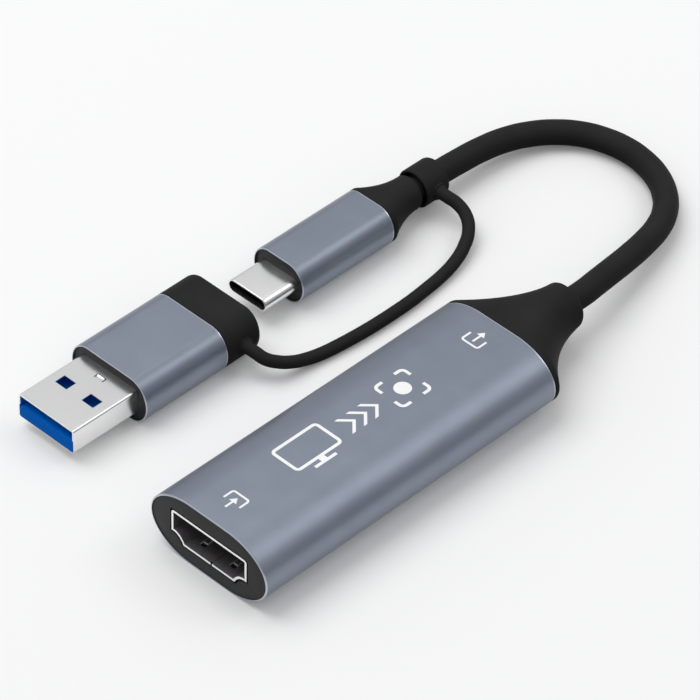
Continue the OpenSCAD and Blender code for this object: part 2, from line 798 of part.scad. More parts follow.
module plug_strain_relief() {
    color("black")
        translate(axis)
            relief(plug_w, plug_h, plug_flat, plug_neck_d, y_plug_end, y_plug_neck, plug_relief_flange,
                plug_neck_lip, 0, plug_hold, plug_spigot_l, plug_fill, small_arc);
}

module tether_collar() {
    r = collar_d / 2;
    mouth_r = r - collar_wall;
    bore_r = cable_d / 2 + collar_gap;
    rim = min(collar_round, collar_embed);
    edge = [for (i = [0:lip_steps]) 90 * i / lip_steps];
    front_edge = [for (a = edge) [r - rim * (1 - sin(a)), rim * (1 - cos(a))]];
    rear_edge = [for (a = edge) [r - collar_round * (1 - cos(a)), collar_l - collar_round * (1 - sin(a))]];
    color("black")
        translate(axis) {
            translate([0, y_collar, 0])
                rotate([-90, 0, 0])
                    rotate_extrude($fn = 64)
                        polygon(concat(
                            [[mouth_r, 0]], front_edge, rear_edge,
                            [[bore_r, collar_l], [bore_r, collar_mouth_l], [mouth_r, collar_mouth_l]]));
            translate([r - collar_embed, 0, 0])
                root(collar_root_l, collar_embed, y_collar_mid);
        }
}

module tether() {
    color("black")
        tube(tether_route, tether_d, cable_sides, [0, 0, 1]);
}

module adapter_sleeve() {
    color("slategray")
        translate(axis)
            sleeve(adapter_outline, adapter_wall, small_bevel, y_adapter, y_block);
}

module adapter_nose() {
    y_nose = y_adapter + adapter_nose_recess;
    color("black")
        translate(axis)
            difference() {
                slab(y_nose, y_nose_end) polygon(adapter_fill);
                slab(y_nose - cut, y_nose_end + cut) polygon(inset(type_a_outer, -fit_gap));
            }
}

module type_a_shell() {
    tab_slit = 0.15;
    y_tab = y_adapter - tab_y;
    top = type_a_h / 2;
    color("silver")
        translate(axis)
            difference() {
                slab(y_type_a, y_nose_end) polygon(type_a_outer);
                slab(y_type_a - cut, y_nose_end + cut) polygon(type_a_bore);
                for (x = [-window_pitch / 2, window_pitch / 2])
                    bar(x, window_w, y_type_a + window_y - window_l / 2, y_type_a + window_y + window_l / 2,
                        -type_a_h, type_a_h);
                difference() {
                    bar(0, tab_w, y_tab, y_tab + tab_l, top - cut, top + cut);
                    bar(0, tab_w - 2 * tab_slit, y_tab - cut, y_tab + tab_l - tab_slit, -top, 2 * top);
                }
            }
}

module type_a_tongue() {
    fill = inset(type_a_outer, type_a_wall + fit_gap / 2);
    color("mediumblue")
        translate(axis)
            difference() {
                slab(y_type_a + type_a_recess, y_nose_end) polygon(fill);
                bar(0, 2 * type_a_w, y_type_a, y_type_a + type_a_depth,
                    type_a_floor + type_a_tongue_t, type_a_h);
            }
}

module type_a_contacts() {
    z = type_a_floor + type_a_tongue_t;
    far_l = 1.4;
    color("gold")
        translate(axis) {
            for (x = type_a_pads)
                bar(x, type_a_pad_w, y_type_a + 1.2, y_type_a + type_a_depth - 2 * far_l, z, z + contact_t);
            for (x = type_a_far_pads)
                bar(x, type_a_pad_w, y_type_a + type_a_depth - 1.5 * far_l, y_type_a + type_a_depth,
                    z, z + contact_t);
        }
}

module adapter_board() {
    color("darkgreen")
        translate(axis)
            bar(0, adapter_board_w, y_nose_end, y_port_end, -small_board_t / 2, small_board_t / 2);
}

module socket_block() {
    color("black")
        translate(axis) {
            difference() {
                union() {
                    loft(round_end_sections(adapter_outline, y_block, y_block_end, block_round));
                    slab(y_block - block_spigot_l, y_block) polygon(adapter_fill);
                }
                slab(y_block - block_spigot_l - cut, y_block_end + cut) polygon(port_hole);
            }
            translate([adapter_w / 2 - root_embed, 0, 0])
                root(adapter_root_l, root_embed, y_root);
        }
}

module type_c_socket_shell() {
    color("silver")
        translate(axis)
            difference() {
                slab(y_port_end, y_block_end) polygon(port_outer);
                slab(y_port_end - cut, y_block_end + cut) polygon(port_bore);
            }
}

module type_c_socket_tongue() {
    color("dimgray")
        translate(axis) {
            slab(y_port_end, y_port_base) polygon(inset(port_bore, fit_gap / 2));
            bar(0, port_tongue_w, y_port_base, y_port_tip, -port_tongue_t / 2, port_tongue_t / 2);
        }
}

module type_c_socket_contacts() {
    y1 = y_port_tip - small_contact_w;
    color("gold")
        translate(axis)
            for (z = [-port_tongue_t / 2 - contact_t, port_tongue_t / 2])
                contact_row(small_contacts, small_pitch, small_contact_w, y_port_base, y1, z);
}

housing_sleeve();
front_bezel();
video_socket_shell();
video_socket_tongue();
video_socket_contacts();
main_board();
board_carrier();
capture_chip();
receiver_chip();
memory_chip();
crystal();
power_inductor();
capacitors();
lead_wires();
strain_relief();
cable();
plug_sleeve();
plug_nose();
plug_shell();
plug_insulator();
plug_contacts();
plug_board();
plug_wires();
plug_strain_relief();
tether_collar();
tether();
adapter_sleeve();
adapter_nose();
type_a_shell();
type_a_tongue();
type_a_contacts();
adapter_board();
socket_block();
type_c_socket_shell();
type_c_socket_tongue();
type_c_socket_contacts();
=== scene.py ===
import math

import bmesh
import bpy
from mathutils import Matrix, Vector


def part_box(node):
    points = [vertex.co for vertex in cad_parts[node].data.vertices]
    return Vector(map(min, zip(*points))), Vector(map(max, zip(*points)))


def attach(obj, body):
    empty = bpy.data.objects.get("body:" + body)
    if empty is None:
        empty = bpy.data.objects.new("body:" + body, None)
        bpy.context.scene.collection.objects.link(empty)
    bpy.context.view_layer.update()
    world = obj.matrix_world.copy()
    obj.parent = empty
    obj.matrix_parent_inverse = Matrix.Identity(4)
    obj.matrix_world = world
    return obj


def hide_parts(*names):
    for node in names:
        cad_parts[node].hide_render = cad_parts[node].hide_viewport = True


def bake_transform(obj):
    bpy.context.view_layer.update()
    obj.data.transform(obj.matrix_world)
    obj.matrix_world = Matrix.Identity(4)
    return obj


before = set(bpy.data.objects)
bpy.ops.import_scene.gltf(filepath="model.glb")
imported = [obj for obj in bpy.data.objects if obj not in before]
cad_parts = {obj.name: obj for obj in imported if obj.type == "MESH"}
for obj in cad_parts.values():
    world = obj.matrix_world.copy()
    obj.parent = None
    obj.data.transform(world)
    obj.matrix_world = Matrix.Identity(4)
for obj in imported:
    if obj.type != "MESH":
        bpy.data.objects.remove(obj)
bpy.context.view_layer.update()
mm = 0.001
near = 0.01 * mm  # places closer than this count as the same
weld = 0.0005 * mm
square = 0.9  # part of a face's normal that makes it an end or a top
slanted = 0.3
ovalSteps = 96  # points round a sleeve and what fits it
plugSteps = 72  # points round a type C shell


# Selecting and editing

def selectOnly(*pieces):
    bpy.ops.object.select_all(action="DESELECT")
    for piece in pieces:
        piece.select_set(True)
    bpy.context.view_layer.objects.active = pieces[0]


def joinPieces(pieces, name):
    selectOnly(*pieces)
    bpy.ops.object.join()
    pieces[0].name = name
    return pieces[0]


def editMode():
    bpy.ops.object.mode_set(mode="EDIT")


def objectMode():
    bpy.ops.object.mode_set(mode="OBJECT")


# What an operator has just added, named, alone in the selection and with its place applied
def takeNew(name):
    piece = bpy.context.object
    piece.name = name
    selectOnly(piece)
    bpy.ops.object.transform_apply(location=True, rotation=True, scale=True)
    return piece


def selectAll():
    bpy.ops.mesh.select_all(action="SELECT")


# Selects what passes a test: a point by its place, an edge by its two ends, a face by its middle and
# normal. A count of newest points leaves the older ones out.
def pick(kind, test, newest=0):
    mesh = bpy.context.object.data
    bpy.ops.mesh.select_mode(type=kind)
    bpy.ops.mesh.select_all(action="DESELECT")
    bm = bmesh.from_edit_mesh(mesh)
    bm.verts.ensure_lookup_table()
    if kind == "VERT":
        for vert in bm.verts[-newest:]:
            vert.select_set(test(vert.co))
    elif kind == "EDGE":
        for edge in bm.edges:
            edge.select_set(test(edge.verts[0].co, edge.verts[1].co))
    else:
        for face in bm.faces:
            face.select_set(test(face.calc_center_median(), face.normal))
    bm.select_flush_mode()
    bmesh.update_edit_mesh(mesh)


def shift(x, y, z):
    bpy.ops.transform.translate(value=(x, y, z))


def extrude(x, y, z):
    bpy.ops.mesh.extrude_region_move(TRANSFORM_OT_translate={"value": (x, y, z)})


def scaleAbout(centre, x, y, z):
    bpy.ops.transform.resize(value=(x, y, z), center_override=centre)


def splitAt(place, normal):
    selectAll()
    bpy.ops.mesh.bisect(plane_co=place, plane_no=normal)


def deleteFaces():
    bpy.ops.mesh.delete(type="FACE")


def cleanMesh():
    selectAll()
    bpy.ops.mesh.remove_doubles(threshold=weld)
    bpy.ops.mesh.normals_make_consistent(inside=False)


def addModifier(piece, kind, **settings):
    selectOnly(piece)
    bpy.ops.object.modifier_add(type=kind)
    modifier = piece.modifiers[-1]
    for key, value in settings.items():
        setattr(modifier, key, value)
    bpy.ops.object.modifier_apply(modifier=modifier.name)


def combine(piece, other, operation):
    addModifier(piece, "BOOLEAN", object=other, operation=operation, solver="EXACT")
    bpy.data.objects.remove(other, do_unlink=True)


def softEdges(piece, width, segments=2, angle=35):
    addModifier(
        piece, "BEVEL", width=width, segments=segments, limit_method="ANGLE",
        angle_limit=math.radians(angle))


def smooth(piece, angle=35):
    selectOnly(piece)
    bpy.ops.object.shade_smooth_by_angle(angle=math.radians(angle))


def extent(node):
    low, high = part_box(node)
    return low, high, (low + high) / 2, high - low


# Shapes that several pieces share

# Section at y, a trim inside the full size
def oval(y, size, flat, trim=0):
    return (y, size.x - 2 * trim, size.z - 2 * trim, flat, 0)


# Oval skin along Y: every section is (y, width, height, flat, lift) about the axis, made by extruding
# the last ring and scaling its right and left halves
def ovalLoft(name, axis, sections, steps=ovalSteps, ends="closed"):
    y, width, height, flat, lift = sections[0]
    bpy.ops.mesh.primitive_circle_add(
        vertices=steps, radius=0.5, location=(axis.x, y, axis.z + lift),
        rotation=(math.pi / 2, math.pi / steps, 0))
    piece = takeNew(name)
    editMode()
    selectAll()
    scaleAbout((axis.x, y, axis.z + lift), width - flat, 1, height)
    for side in (1, -1):
        pick("VERT", lambda co: (co.x - axis.x) * side > 0)
        shift(side * flat / 2, 0, 0)
    selectAll()
    for nextY, nextWidth, nextHeight, nextFlat, nextLift in sections[1:]:
        extrude(0, nextY - y, nextLift - lift)
        growX = (nextWidth - nextFlat) / (width - flat)
        growZ = nextHeight / height
        for side in (1, -1):
            pick("VERT", lambda co: (co.x - axis.x) * side > 0, steps)
            scaleAbout((axis.x + side * flat / 2, nextY, axis.z + nextLift), growX, 1, growZ)
            shift(side * (nextFlat - flat) / 2, 0, 0)
        pick("VERT", lambda co: True, steps)
        y, width, height, flat, lift = nextY, nextWidth, nextHeight, nextFlat, nextLift
    closeEnds(ends)
    return piece


# A tube's last ring is bridged to its first, and a closed skin gets a face at each end
def closeEnds(ends):
    bpy.ops.mesh.select_mode(type="EDGE")
    bpy.ops.mesh.select_all(action="DESELECT")
    bpy.ops.mesh.select_non_manifold()
    if ends == "tube":
        bpy.ops.mesh.bridge_edge_loops()
    else:
        bpy.ops.mesh.edge_face_add()
    cleanMesh()
    objectMode()


# Quarter-round run of sections from one section's inset rim to its full outline, or back
def roundRim(y, width, height, flat, radius, direction, steps):
    run = []
    for i in range(steps + 1):
        turn = math.pi / 2 * i / steps
        trim = 2 * radius * (1 - math.sin(turn))
        run.append((y + direction * radius * (1 - math.cos(turn)), width - trim, height - trim, flat, 0))
    return run if direction > 0 else run[::-1]


# Oval peg through an insert, a gap wider than a node all round
def ovalCutter(node, gap, start, end):
    middle, size = extent(node)[2:]
    flat = size.x - size.z
    return ovalLoft(
        "cutter", middle, [oval(start, size, flat, -gap), oval(end, size, flat, -gap)], plugSteps)


# Round flare along X, from a wide buried start to the thickness of the cord
def flaredRoot(name, start, buried, reach, wide, narrow, steps=48, rings=8):
    bpy.ops.mesh.primitive_circle_add(
        vertices=steps, radius=wide / 2, location=start, rotation=(0, math.pi / 2, 0))
    piece = takeNew(name)
    editMode()
    selectAll()
    x = start.x + buried
    extrude(buried, 0, 0)
    thickness = wide
    for i in range(1, rings + 1):
        turn = math.pi / 2 * i / rings
        nextX = start.x + buried + reach * (1 - math.cos(turn))
        nextThickness = narrow + (wide - narrow) * (1 - math.sin(turn))
        extrude(nextX - x, 0, 0)
        grow = nextThickness / thickness
        scaleAbout((nextX, start.y, start.z), 1, grow, grow)
        x, thickness = nextX, nextThickness
    closeEnds("closed")
    return piece


def block(name, low, high):
    bpy.ops.mesh.primitive_cube_add(size=1, location=(low + high) / 2, scale=high - low)
    return takeNew(name)


def cutBox(piece, low, high):
    combine(piece, block("cutter", Vector(low), Vector(high)), "DIFFERENCE")


# Takes off both ends of a prism and gives its skin a wall inwards
def hollow(piece, wall):
    selectOnly(piece)
    editMode()
    pick("FACE", lambda centre, normal: abs(normal.y) > square)
    deleteFaces()
    objectMode()
    addModifier(piece, "SOLIDIFY", thickness=wall, offset=-1, use_even_offset=True)


# Materials

# Sets a node's inputs to values, or joins them to other nodes' outputs
def feed(tree, node, inputs):
    for key, value in inputs.items():
        if isinstance(value, bpy.types.NodeSocket):
            tree.links.new(value, node.inputs[key])
        else:
            node.inputs[key].default_value = value


def addNode(tree, kind, inputs, **settings):
    node = tree.nodes.new("ShaderNode" + kind)
    for key, value in settings.items():
        setattr(node, key, value)
    feed(tree, node, inputs)
    return node.outputs


def mathNode(tree, operation, *values):
    return addNode(tree, "Math", dict(enumerate(values)), operation=operation)["Value"]


def mapRange(tree, value, source, target=(0, 1)):
    ends = zip(("From Min", "From Max", "To Min", "To Max"), (*source, *target))
    return addNode(tree, "MapRange", {"Value": value, **dict(ends)})["Result"]


def mixColours(tree, factor, first, second):
    colours = {"Factor": factor, "A": (*first, 1), "B": (*second, 1)}
    return addNode(tree, "Mix", colours, data_type="RGBA")["Result"]


cloudScale = 160


# Fine grain and broad clouds on the piece's own coordinates, with the grain drawn out along Y
def makeGrainGroup():
    group = bpy.data.node_groups.new("surfaceGrain", "ShaderNodeTree")
    for way, names in (("INPUT", ("grainScale", "grainStretch")), ("OUTPUT", ("grain", "cloud"))):
        for name in names:
            group.interface.new_socket(name, in_out=way, socket_type="NodeSocketFloat")
    source = group.nodes.new("NodeGroupInput").outputs
    target = group.nodes.new("NodeGroupOutput")
    coords = addNode(group, "TexCoord", {})
    stretch = addNode(group, "CombineXYZ", {"X": 1, "Y": source["grainStretch"], "Z": 1})
    drawn = addNode(
        group, "VectorMath", {0: coords["Object"], 1: stretch["Vector"]}, operation="MULTIPLY")
    grain = addNode(
        group, "TexNoise", {"Vector": drawn["Vector"], "Scale": source["grainScale"], "Detail": 3})
    cloud = addNode(
        group, "TexNoise", {"Vector": coords["Object"], "Scale": cloudScale, "Detail": 2})
    feed(group, target, {"grain": grain["Fac"], "cloud": cloud["Fac"]})
    return group


grainGroup = makeGrainGroup()
colourGrain = 0.5  # the colour is mostly clouds, with this much grain
colourSpan = (0.35, 0.65 + colourGrain)  # what the noise reaches
roughSpan = (0.3, 0.7)
bumpDepth = 0.02 * mm


def makeMaterial(name, look):
    material = bpy.data.materials.new(name)
    material.use_nodes = True
    tree = material.node_tree
    noise = addNode(tree, "Group", {
        "grainScale": look["grainScale"], "grainStretch": look.get("grainStretch", 1)},
        node_tree=grainGroup)
    tone = mathNode(tree, "MULTIPLY_ADD", noise["grain"], colourGrain, noise["cloud"])
    bump = addNode(tree, "Bump", {
        "Strength": look["bump"], "Distance": bumpDepth, "Height": noise["grain"]})
    feed(tree, tree.nodes["Principled BSDF"], {
        "Metallic": look.get("metallic", 0), "Specular IOR Level": look.get("specular", 0.5),
        "Base Color": mixColours(tree, mapRange(tree, tone, colourSpan), look["dark"], look["light"]),
        "Roughness": mapRange(tree, noise["grain"], roughSpan, look["roughness"]),
        "Normal": bump["Normal"]})
    return material


looks = {
    "anodisedMetal": {
        "dark": (0.232, 0.262, 0.322), "light": (0.27, 0.302, 0.365), "metallic": 0.92,
        "roughness": (0.36, 0.46), "grainScale": 4800, "bump": 0.17},
    "cutRim": {
        "dark": (0.46, 0.49, 0.56), "light": (0.54, 0.57, 0.64), "metallic": 1,
        "roughness": (0.26, 0.36), "grainScale": 9000, "bump": 0.05},
    "blackPlastic": {
        "dark": (0.009, 0.009, 0.0096), "light": (0.014, 0.014, 0.0146), "specular": 0.3,
        "roughness": (0.42, 0.54), "grainScale": 5000, "bump": 0.1},
    "blackRubber": {
        "dark": (0.0195, 0.0195, 0.0198), "light": (0.0275, 0.0275, 0.028), "specular": 0.015,
        "roughness": (0.45, 0.55), "grainScale": 4500, "bump": 0.08},
    "plugSteel": {
        "dark": (0.85, 0.85, 0.845), "light": (0.87, 0.87, 0.865), "metallic": 1,
        "roughness": (0.22, 0.26), "grainScale": 5000, "grainStretch": 0.1, "bump": 0.002},
    "brightEdge": {
        "dark": (0.93, 0.93, 0.925), "light": (0.97, 0.97, 0.965), "metallic": 1,
        "roughness": (0.3, 0.36), "grainScale": 9000, "bump": 0.01},
    # darker steel: painted shade on the inner faces of the folded shells
    "shadedSteel": {
        "dark": (0.25, 0.235, 0.25), "light": (0.29, 0.275, 0.29), "metallic": 0.88,
        "roughness": (0.42, 0.52), "grainScale": 6000, "grainStretch": 0.1, "bump": 0.02},
    # pale matte grey of a stamped cut edge, lightened as a painted highlight on the finger window walls
    "stampedEdgeHighlight": {
        "dark": (0.66, 0.65, 0.65), "light": (0.74, 0.73, 0.73), "metallic": 0.25,
        "roughness": (0.4, 0.5), "grainScale": 6000, "bump": 0.02},
    # near-black plastic of the type C insulator, and the painted shade on the steel faces deep in the socket
    # shell's notch
    "deepBlackAndShade": {
        "dark": (0.006, 0.006, 0.0065), "light": (0.01, 0.01, 0.0105), "specular": 0.1,
        "roughness": (0.6, 0.7), "grainScale": 5000, "bump": 0.05},
    "bluePlastic": {
        "dark": (0.0, 0.17, 0.76), "light": (0.0, 0.195, 0.84), "specular": 0.05,
        "roughness": (0.46, 0.56), "grainScale": 4000, "bump": 0.03},
    "goldContact": {
        "dark": (0.72, 0.5, 0.19), "light": (0.82, 0.6, 0.27), "metallic": 1,
        "roughness": (0.22, 0.34), "grainScale": 8000, "bump": 0.04},
    "greenBoard": {
        "dark": (0.003, 0.014, 0.007), "light": (0.005, 0.022, 0.01), "specular": 0.2,
        "roughness": (0.4, 0.55), "grainScale": 3000, "bump": 0.1},
    "chipBlack": {
        "dark": (0.02, 0.02, 0.021), "light": (0.035, 0.035, 0.037),
        "roughness": (0.5, 0.65), "grainScale": 9000, "bump": 0.2},
    "ferrite": {
        "dark": (0.05, 0.05, 0.052), "light": (0.08, 0.08, 0.083),
        "roughness": (0.5, 0.7), "grainScale": 6000, "bump": 0.3},
    "ceramic": {
        "dark": (0.42, 0.31, 0.2), "light": (0.52, 0.4, 0.27),
        "roughness": (0.4, 0.55), "grainScale": 7000, "bump": 0.1},
    "wireJacket": {
        "dark": (0.4, 0.03, 0.025), "light": (0.52, 0.045, 0.035),
        "roughness": (0.4, 0.55), "grainScale": 5000, "bump": 0.08},
    "whiteInk": {
        "dark": (0.84, 0.84, 0.84), "light": (0.92, 0.92, 0.92), "specular": 0.3,
        "roughness": (0.5, 0.65), "grainScale": 6000, "bump": 0.05},
}
materials = {name: makeMaterial(name, look) for name, look in looks.items()}
print("materials made:", len(materials))


# Adds paints to a piece, and gives back the place of each in the piece's list
def addPaints(piece, *names):
    places = []
    for name in names:
        places.append(len(piece.data.materials))
        piece.data.materials.append(materials[name])
    return places


def paint(piece, name):
    piece.data.materials.clear()
    addPaints(piece, name)


# Finish of a piece: shading, paint, body and the nodes that it stands for
def settle(piece, body, nodes, paintName, angle=35, flatSheets=False):
    smooth(piece, angle)
    if flatSheets:
        addModifier(piece, "WEIGHTED_NORMAL", mode="FACE_AREA", keep_sharp=True)
    paint(piece, paintName)
    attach(piece, body)
    if nodes:
        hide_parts(*nodes)


# Camera

cameraView = {
    "azimuth": 43.635, "elevation": 41.411, "roll": 1.44,  # degrees
    "distance": 774.6 * mm, "target": Vector((-20.77, 12.235, 0)) * mm, "lens": 259.61, "sensor": 36,
    "clip": (0.01, 50)}


def makeCamera(view):
    azimuth, elevation, roll = (math.radians(view[key]) for key in ("azimuth", "elevation", "roll"))
    back = Vector((
        math.sin(azimuth) * math.cos(elevation),
        -math.cos(azimuth) * math.cos(elevation),
        math.sin(elevation)))
    right = Vector((math.cos(azimuth), math.sin(azimuth), 0))
    up = back.cross(right)
    across = right * math.cos(roll) + up * math.sin(roll)
    upright = up * math.cos(roll) - right * math.sin(roll)
    turn = Matrix((across, upright, back)).transposed()
    bpy.ops.object.camera_add(
        location=view["target"] + back * view["distance"], rotation=turn.to_euler())
    camera = bpy.context.object
    camera.name = "photoCamera"
    camera.data.sensor_width = view["sensor"]
    camera.data.lens = view["lens"]
    camera.data.clip_start, camera.data.clip_end = view["clip"]
    bpy.context.scene.camera = camera


makeCamera(cameraView)
print("camera made")


# Lead and tether

leadLook = {"thickness": 4.2 * mm, "around": 8, "along": 10}
leadRoute = [
    (0, 38.3, 6.55), (0, 42.3, 6.55),
    (-0.5, 45.4, 6.15), (-1.25, 49.6, 5.5), (-2.15, 54.6, 4.75), (-3.35, 59.9, 3.95), (-4.8, 64.7, 3.35),
    (-7.1, 69.1, 2.8), (-10.35, 72.7, 2.4), (-14, 75.1, 2.2), (-18.2, 76.5, 2.15),
    (-22.2, 76.8, 2.15), (-26.3, 76.1, 2.15), (-29.9, 74.5, 2.2), (-32.9, 71.7, 2.45),
    (-35.2, 68, 2.8), (-36.7, 63.4, 3.25), (-37.3, 58.4, 3.7), (-37.4, 53.6, 4.05),
    (-37.5, 49.2, 4.15), (-37.5, 42.7, 4.15)]
tetherLook = {"thickness": 2.1 * mm, "around": 6, "along": 8}
tetherRoute = [
    (-33.35, 45.85, 4.15), (-32.45, 45.85, 4.15),
    (-30.5, 46.1, 3.75), (-28.1, 45.6, 3.1), (-25.8, 43.8, 2.4), (-24, 40.8, 1.8),
    (-22.8, 37.4, 1.4), (-22.1, 33.6, 1.15), (-21.7, 29.9, 1.1), (-21.4, 26.4, 1.1),
    (-21.3, 23, 1.1), (-21.3, 19.9, 1.1), (-21.4, 16.7, 1.1), (-21.6, 13.7, 1.1), (-21.9, 10.7, 1.1),
    (-22.3, 7.7, 1.15), (-22.8, 4.7, 1.5), (-23.3, 2.1, 2.2), (-24.1, 0, 3), (-25.4, -1.5, 3.7),
    (-27.15, -1.9, 4.15), (-28.05, -1.9, 4.15)]


# Cord as one open spline through its route, with smooth handles
def makeCord(name, route, look):
    bpy.ops.curve.primitive_bezier_curve_add()
    piece = takeNew(name)
    curve = piece.data
    curve.dimensions = "3D"
    spline = curve.splines[0]
    spline.bezier_points.add(len(route) - len(spline.bezier_points))
    for point, place in zip(spline.bezier_points, route):
        point.co = Vector(place) * mm
        point.handle_left_type = "AUTO"
        point.handle_right_type = "AUTO"
    curve.resolution_u = look["along"]
    curve.bevel_depth = look["thickness"] / 2
    curve.bevel_resolution = look["around"]
    curve.use_fill_caps = True
    return piece


lead = makeCord("lead", leadRoute, leadLook)
tether = makeCord("tetherCord", tetherRoute, tetherLook)
selectOnly(tether)
bpy.ops.object.convert(target="MESH")


# The tether's root on the right side of a piece, as far out as the piece's node reaches
def addRoot(piece, node, side, y, z, look):
    buried = look["rootBuried"]
    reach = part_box(node)[1].x - side
    root = flaredRoot(
        "root", Vector((side - buried, y * mm, z)), buried, reach, look["rootWide"],
        tetherLook["thickness"])
    combine(piece, root, "UNION")


# Metal sleeves: oval tubes with a bright cut rim at the front and a thin bright line at the rear

sleeveLooks = {
    "housing_sleeve": {
        "name": "housingSleeve", "body": "capture_box", "flat": 7.5 * mm, "wall": 0.5 * mm,
        "rim": 0.14 * mm, "land": 0.26 * mm},
    "plug_sleeve": {
        "name": "plugSleeve", "body": "capture_box", "flat": 4.4 * mm, "wall": 0.4 * mm,
        "rim": 0.1 * mm, "land": 0.2 * mm},
    "adapter_sleeve": {
        "name": "adapterSleeve", "body": "adapter", "flat": 9.4 * mm, "wall": 0.4 * mm,
        "rim": 0.1 * mm, "land": 0.2 * mm},
}
rimHold = 1.3  # a ring this many rims back keeps the rim's shading short
rearCut = 0.12 * mm
rearLine = 0.28 * mm
rebate = 0.5 * mm  # depth of the step behind the rim, which the flange of a bezel or nose fills


def makeSleeve(node, look):
    low, high, middle, size = extent(node)
    flat, wall, rim, land = look["flat"], look["wall"], look["rim"], look["land"]
    sections = [
        oval(low.y, size, flat, rim),
        oval(low.y + rim, size, flat),
        oval(low.y + rimHold * rim, size, flat),
        oval(high.y - rearLine, size, flat),
        oval(high.y - rearCut, size, flat),
        oval(high.y, size, flat, rearCut),
        oval(high.y, size, flat, wall),
        oval(low.y + rebate, size, flat, wall),
        oval(low.y + rebate, size, flat, land),
        oval(low.y, size, flat, land)]
    sleeve = ovalLoft(look["name"], middle, sections, ends="tube")
    settle(sleeve, look["body"], [node], "anodisedMetal", angle=20)
    cutRim, = addPaints(sleeve, "cutRim")
    for face in sleeve.data.polygons:
        atRim = face.center.y < low.y + rim and face.normal.y < -slanted
        if atRim or face.center.y > high.y - rearLine:
            face.material_index = cutRim
    return sleeve


sleeves = {node: makeSleeve(node, look) for node, look in sleeveLooks.items()}
print("sleeves made")


# Black inserts at the front of the sleeves

flangeGap = 0.02 * mm
flangeSteps = 3


# A thin flange inside the sleeve's rim, then the insert itself
def insertSections(node, sleeve, edge):
    low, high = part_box(node)
    sleeveLow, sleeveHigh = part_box(sleeve)
    flat = sleeveLooks[sleeve]["flat"]
    step = sleeveLow.y + rebate - flangeGap
    flange = oval(step, sleeveHigh - sleeveLow, flat, sleeveLooks[sleeve]["land"] + flangeGap)
    return [
        *roundRim(low.y, *flange[1:4], edge, 1, flangeSteps),
        flange,
        oval(step, high - low, flat),
        oval(high.y, high - low, flat)]


def makeInsert(node, look, *cutters):
    sections = insertSections(node, look["sleeve"], look["edge"])
    insert = ovalLoft(look["name"], extent(node)[2], sections)
    for cutter in cutters:
        combine(insert, cutter, "DIFFERENCE")
    settle(insert, look["body"], [node], "blackPlastic")
    return insert


# Video socket: stamped shell with stepped lower corners, in a black bezel

socketLook = {
    "corner": 1.6 * mm, "floorTrim": 0.9 * mm, "topRound": 0.55 * mm, "topSteps": 5, "curl": 3,
    "curlCuts": 7, "wall": 0.4 * mm, "cutReach": 1.6, "edge": 0.05 * mm, "rim": 0.1 * mm,
    "fingerX": 3.1 * mm, "fingerY": 1.6 * mm, "fingerWidth": 1.2 * mm, "fingerLength": 4 * mm,
    "fingerTip": 0.85 * mm, "fingerRoot": 0.3 * mm, "fingerLift": 0.12 * mm, "slit": 0.2 * mm,
    "seam": 0.08 * mm, "seamX": 0.5 * mm, "notch": (0.3 * mm, 0.35 * mm)}
# Painted shade in the notch and a painted highlight on the finger window walls, in shares of the notch, the
# wall and the finger
notchShadePaint = {"across": 0.7, "deep": 1.3, "high": 1.1, "front": 0.2}
windowHighlightPaint = {"across": 1.2, "from": 0.5, "steep": 0.85}
bezelLook = {
    "name": "frontBezel", "sleeve": "housing_sleeve", "body": "capture_box", "edge": 0.06 * mm,
    "gap": 0.1 * mm, "groove": (0.26 * mm, 0.5 * mm)}


# Plane with round top corners and stepped lower corners, carried along Y
def socketPrism(name, low, high, grow, look):
    width = high.x - low.x + 2 * grow
    height = high.z - low.z + 2 * grow
    middle = (low + high) / 2
    floor, roof = middle.z - height / 2, middle.z + height / 2
    corner, cuts = look["corner"], look["curlCuts"]
    bpy.ops.mesh.primitive_plane_add(
        size=1, location=(middle.x, low.y, middle.z), rotation=(math.pi / 2, 0, 0))
    bpy.context.object.scale = (width, height, 1)
    piece = takeNew(name)
    editMode()
    pick("VERT", lambda co: co.z < middle.z)
    bpy.ops.mesh.bevel(offset=corner, affect="VERTICES", segments=1)
    for side in (1, -1):
        pick("VERT", lambda co: co.z < floor + near and (co.x - middle.x) * side > 0)
        shift(-side * look["floorTrim"], 0, 0)
    pick("VERT", lambda co: co.z > roof - near)
    bpy.ops.mesh.bevel(offset=look["topRound"], affect="VERTICES", segments=look["topSteps"])
    pick("EDGE", lambda a, b: (
        abs(abs(a.z - b.z) - corner) < 2 * near and abs(a.x - b.x) > 0.5 * corner))
    bpy.ops.mesh.subdivide(number_cuts=cuts)
    for i in range(cuts, 0, -1):
        t = i / (cuts + 1)
        pick("VERT", lambda co: abs(co.z - floor - corner * t) < near)
        shift(0, 0, corner * (1 - (1 - t) ** look["curl"] - t))
    selectAll()
    extrude(0, high.y - low.y, 0)
    cleanMesh()
    objectMode()
    return piece


# Inner faces of a folded shell get a darker steel, painted shade for the inside of the hollow, whose place is
# given back
def shadeInside(shell, low, high, wall):
    middle = (low + high) / 2
    skin = 0.95 * wall
    shaded, = addPaints(shell, "shadedSteel")
    for face in shell.data.polygons:
        away = face.center - middle
        inwards = face.normal.x * away.x + face.normal.z * away.z < 0
        within = low.z + skin < face.center.z < high.z - skin
        if inwards and within and abs(face.normal.y) < slanted:
            face.material_index = shaded
    return shaded


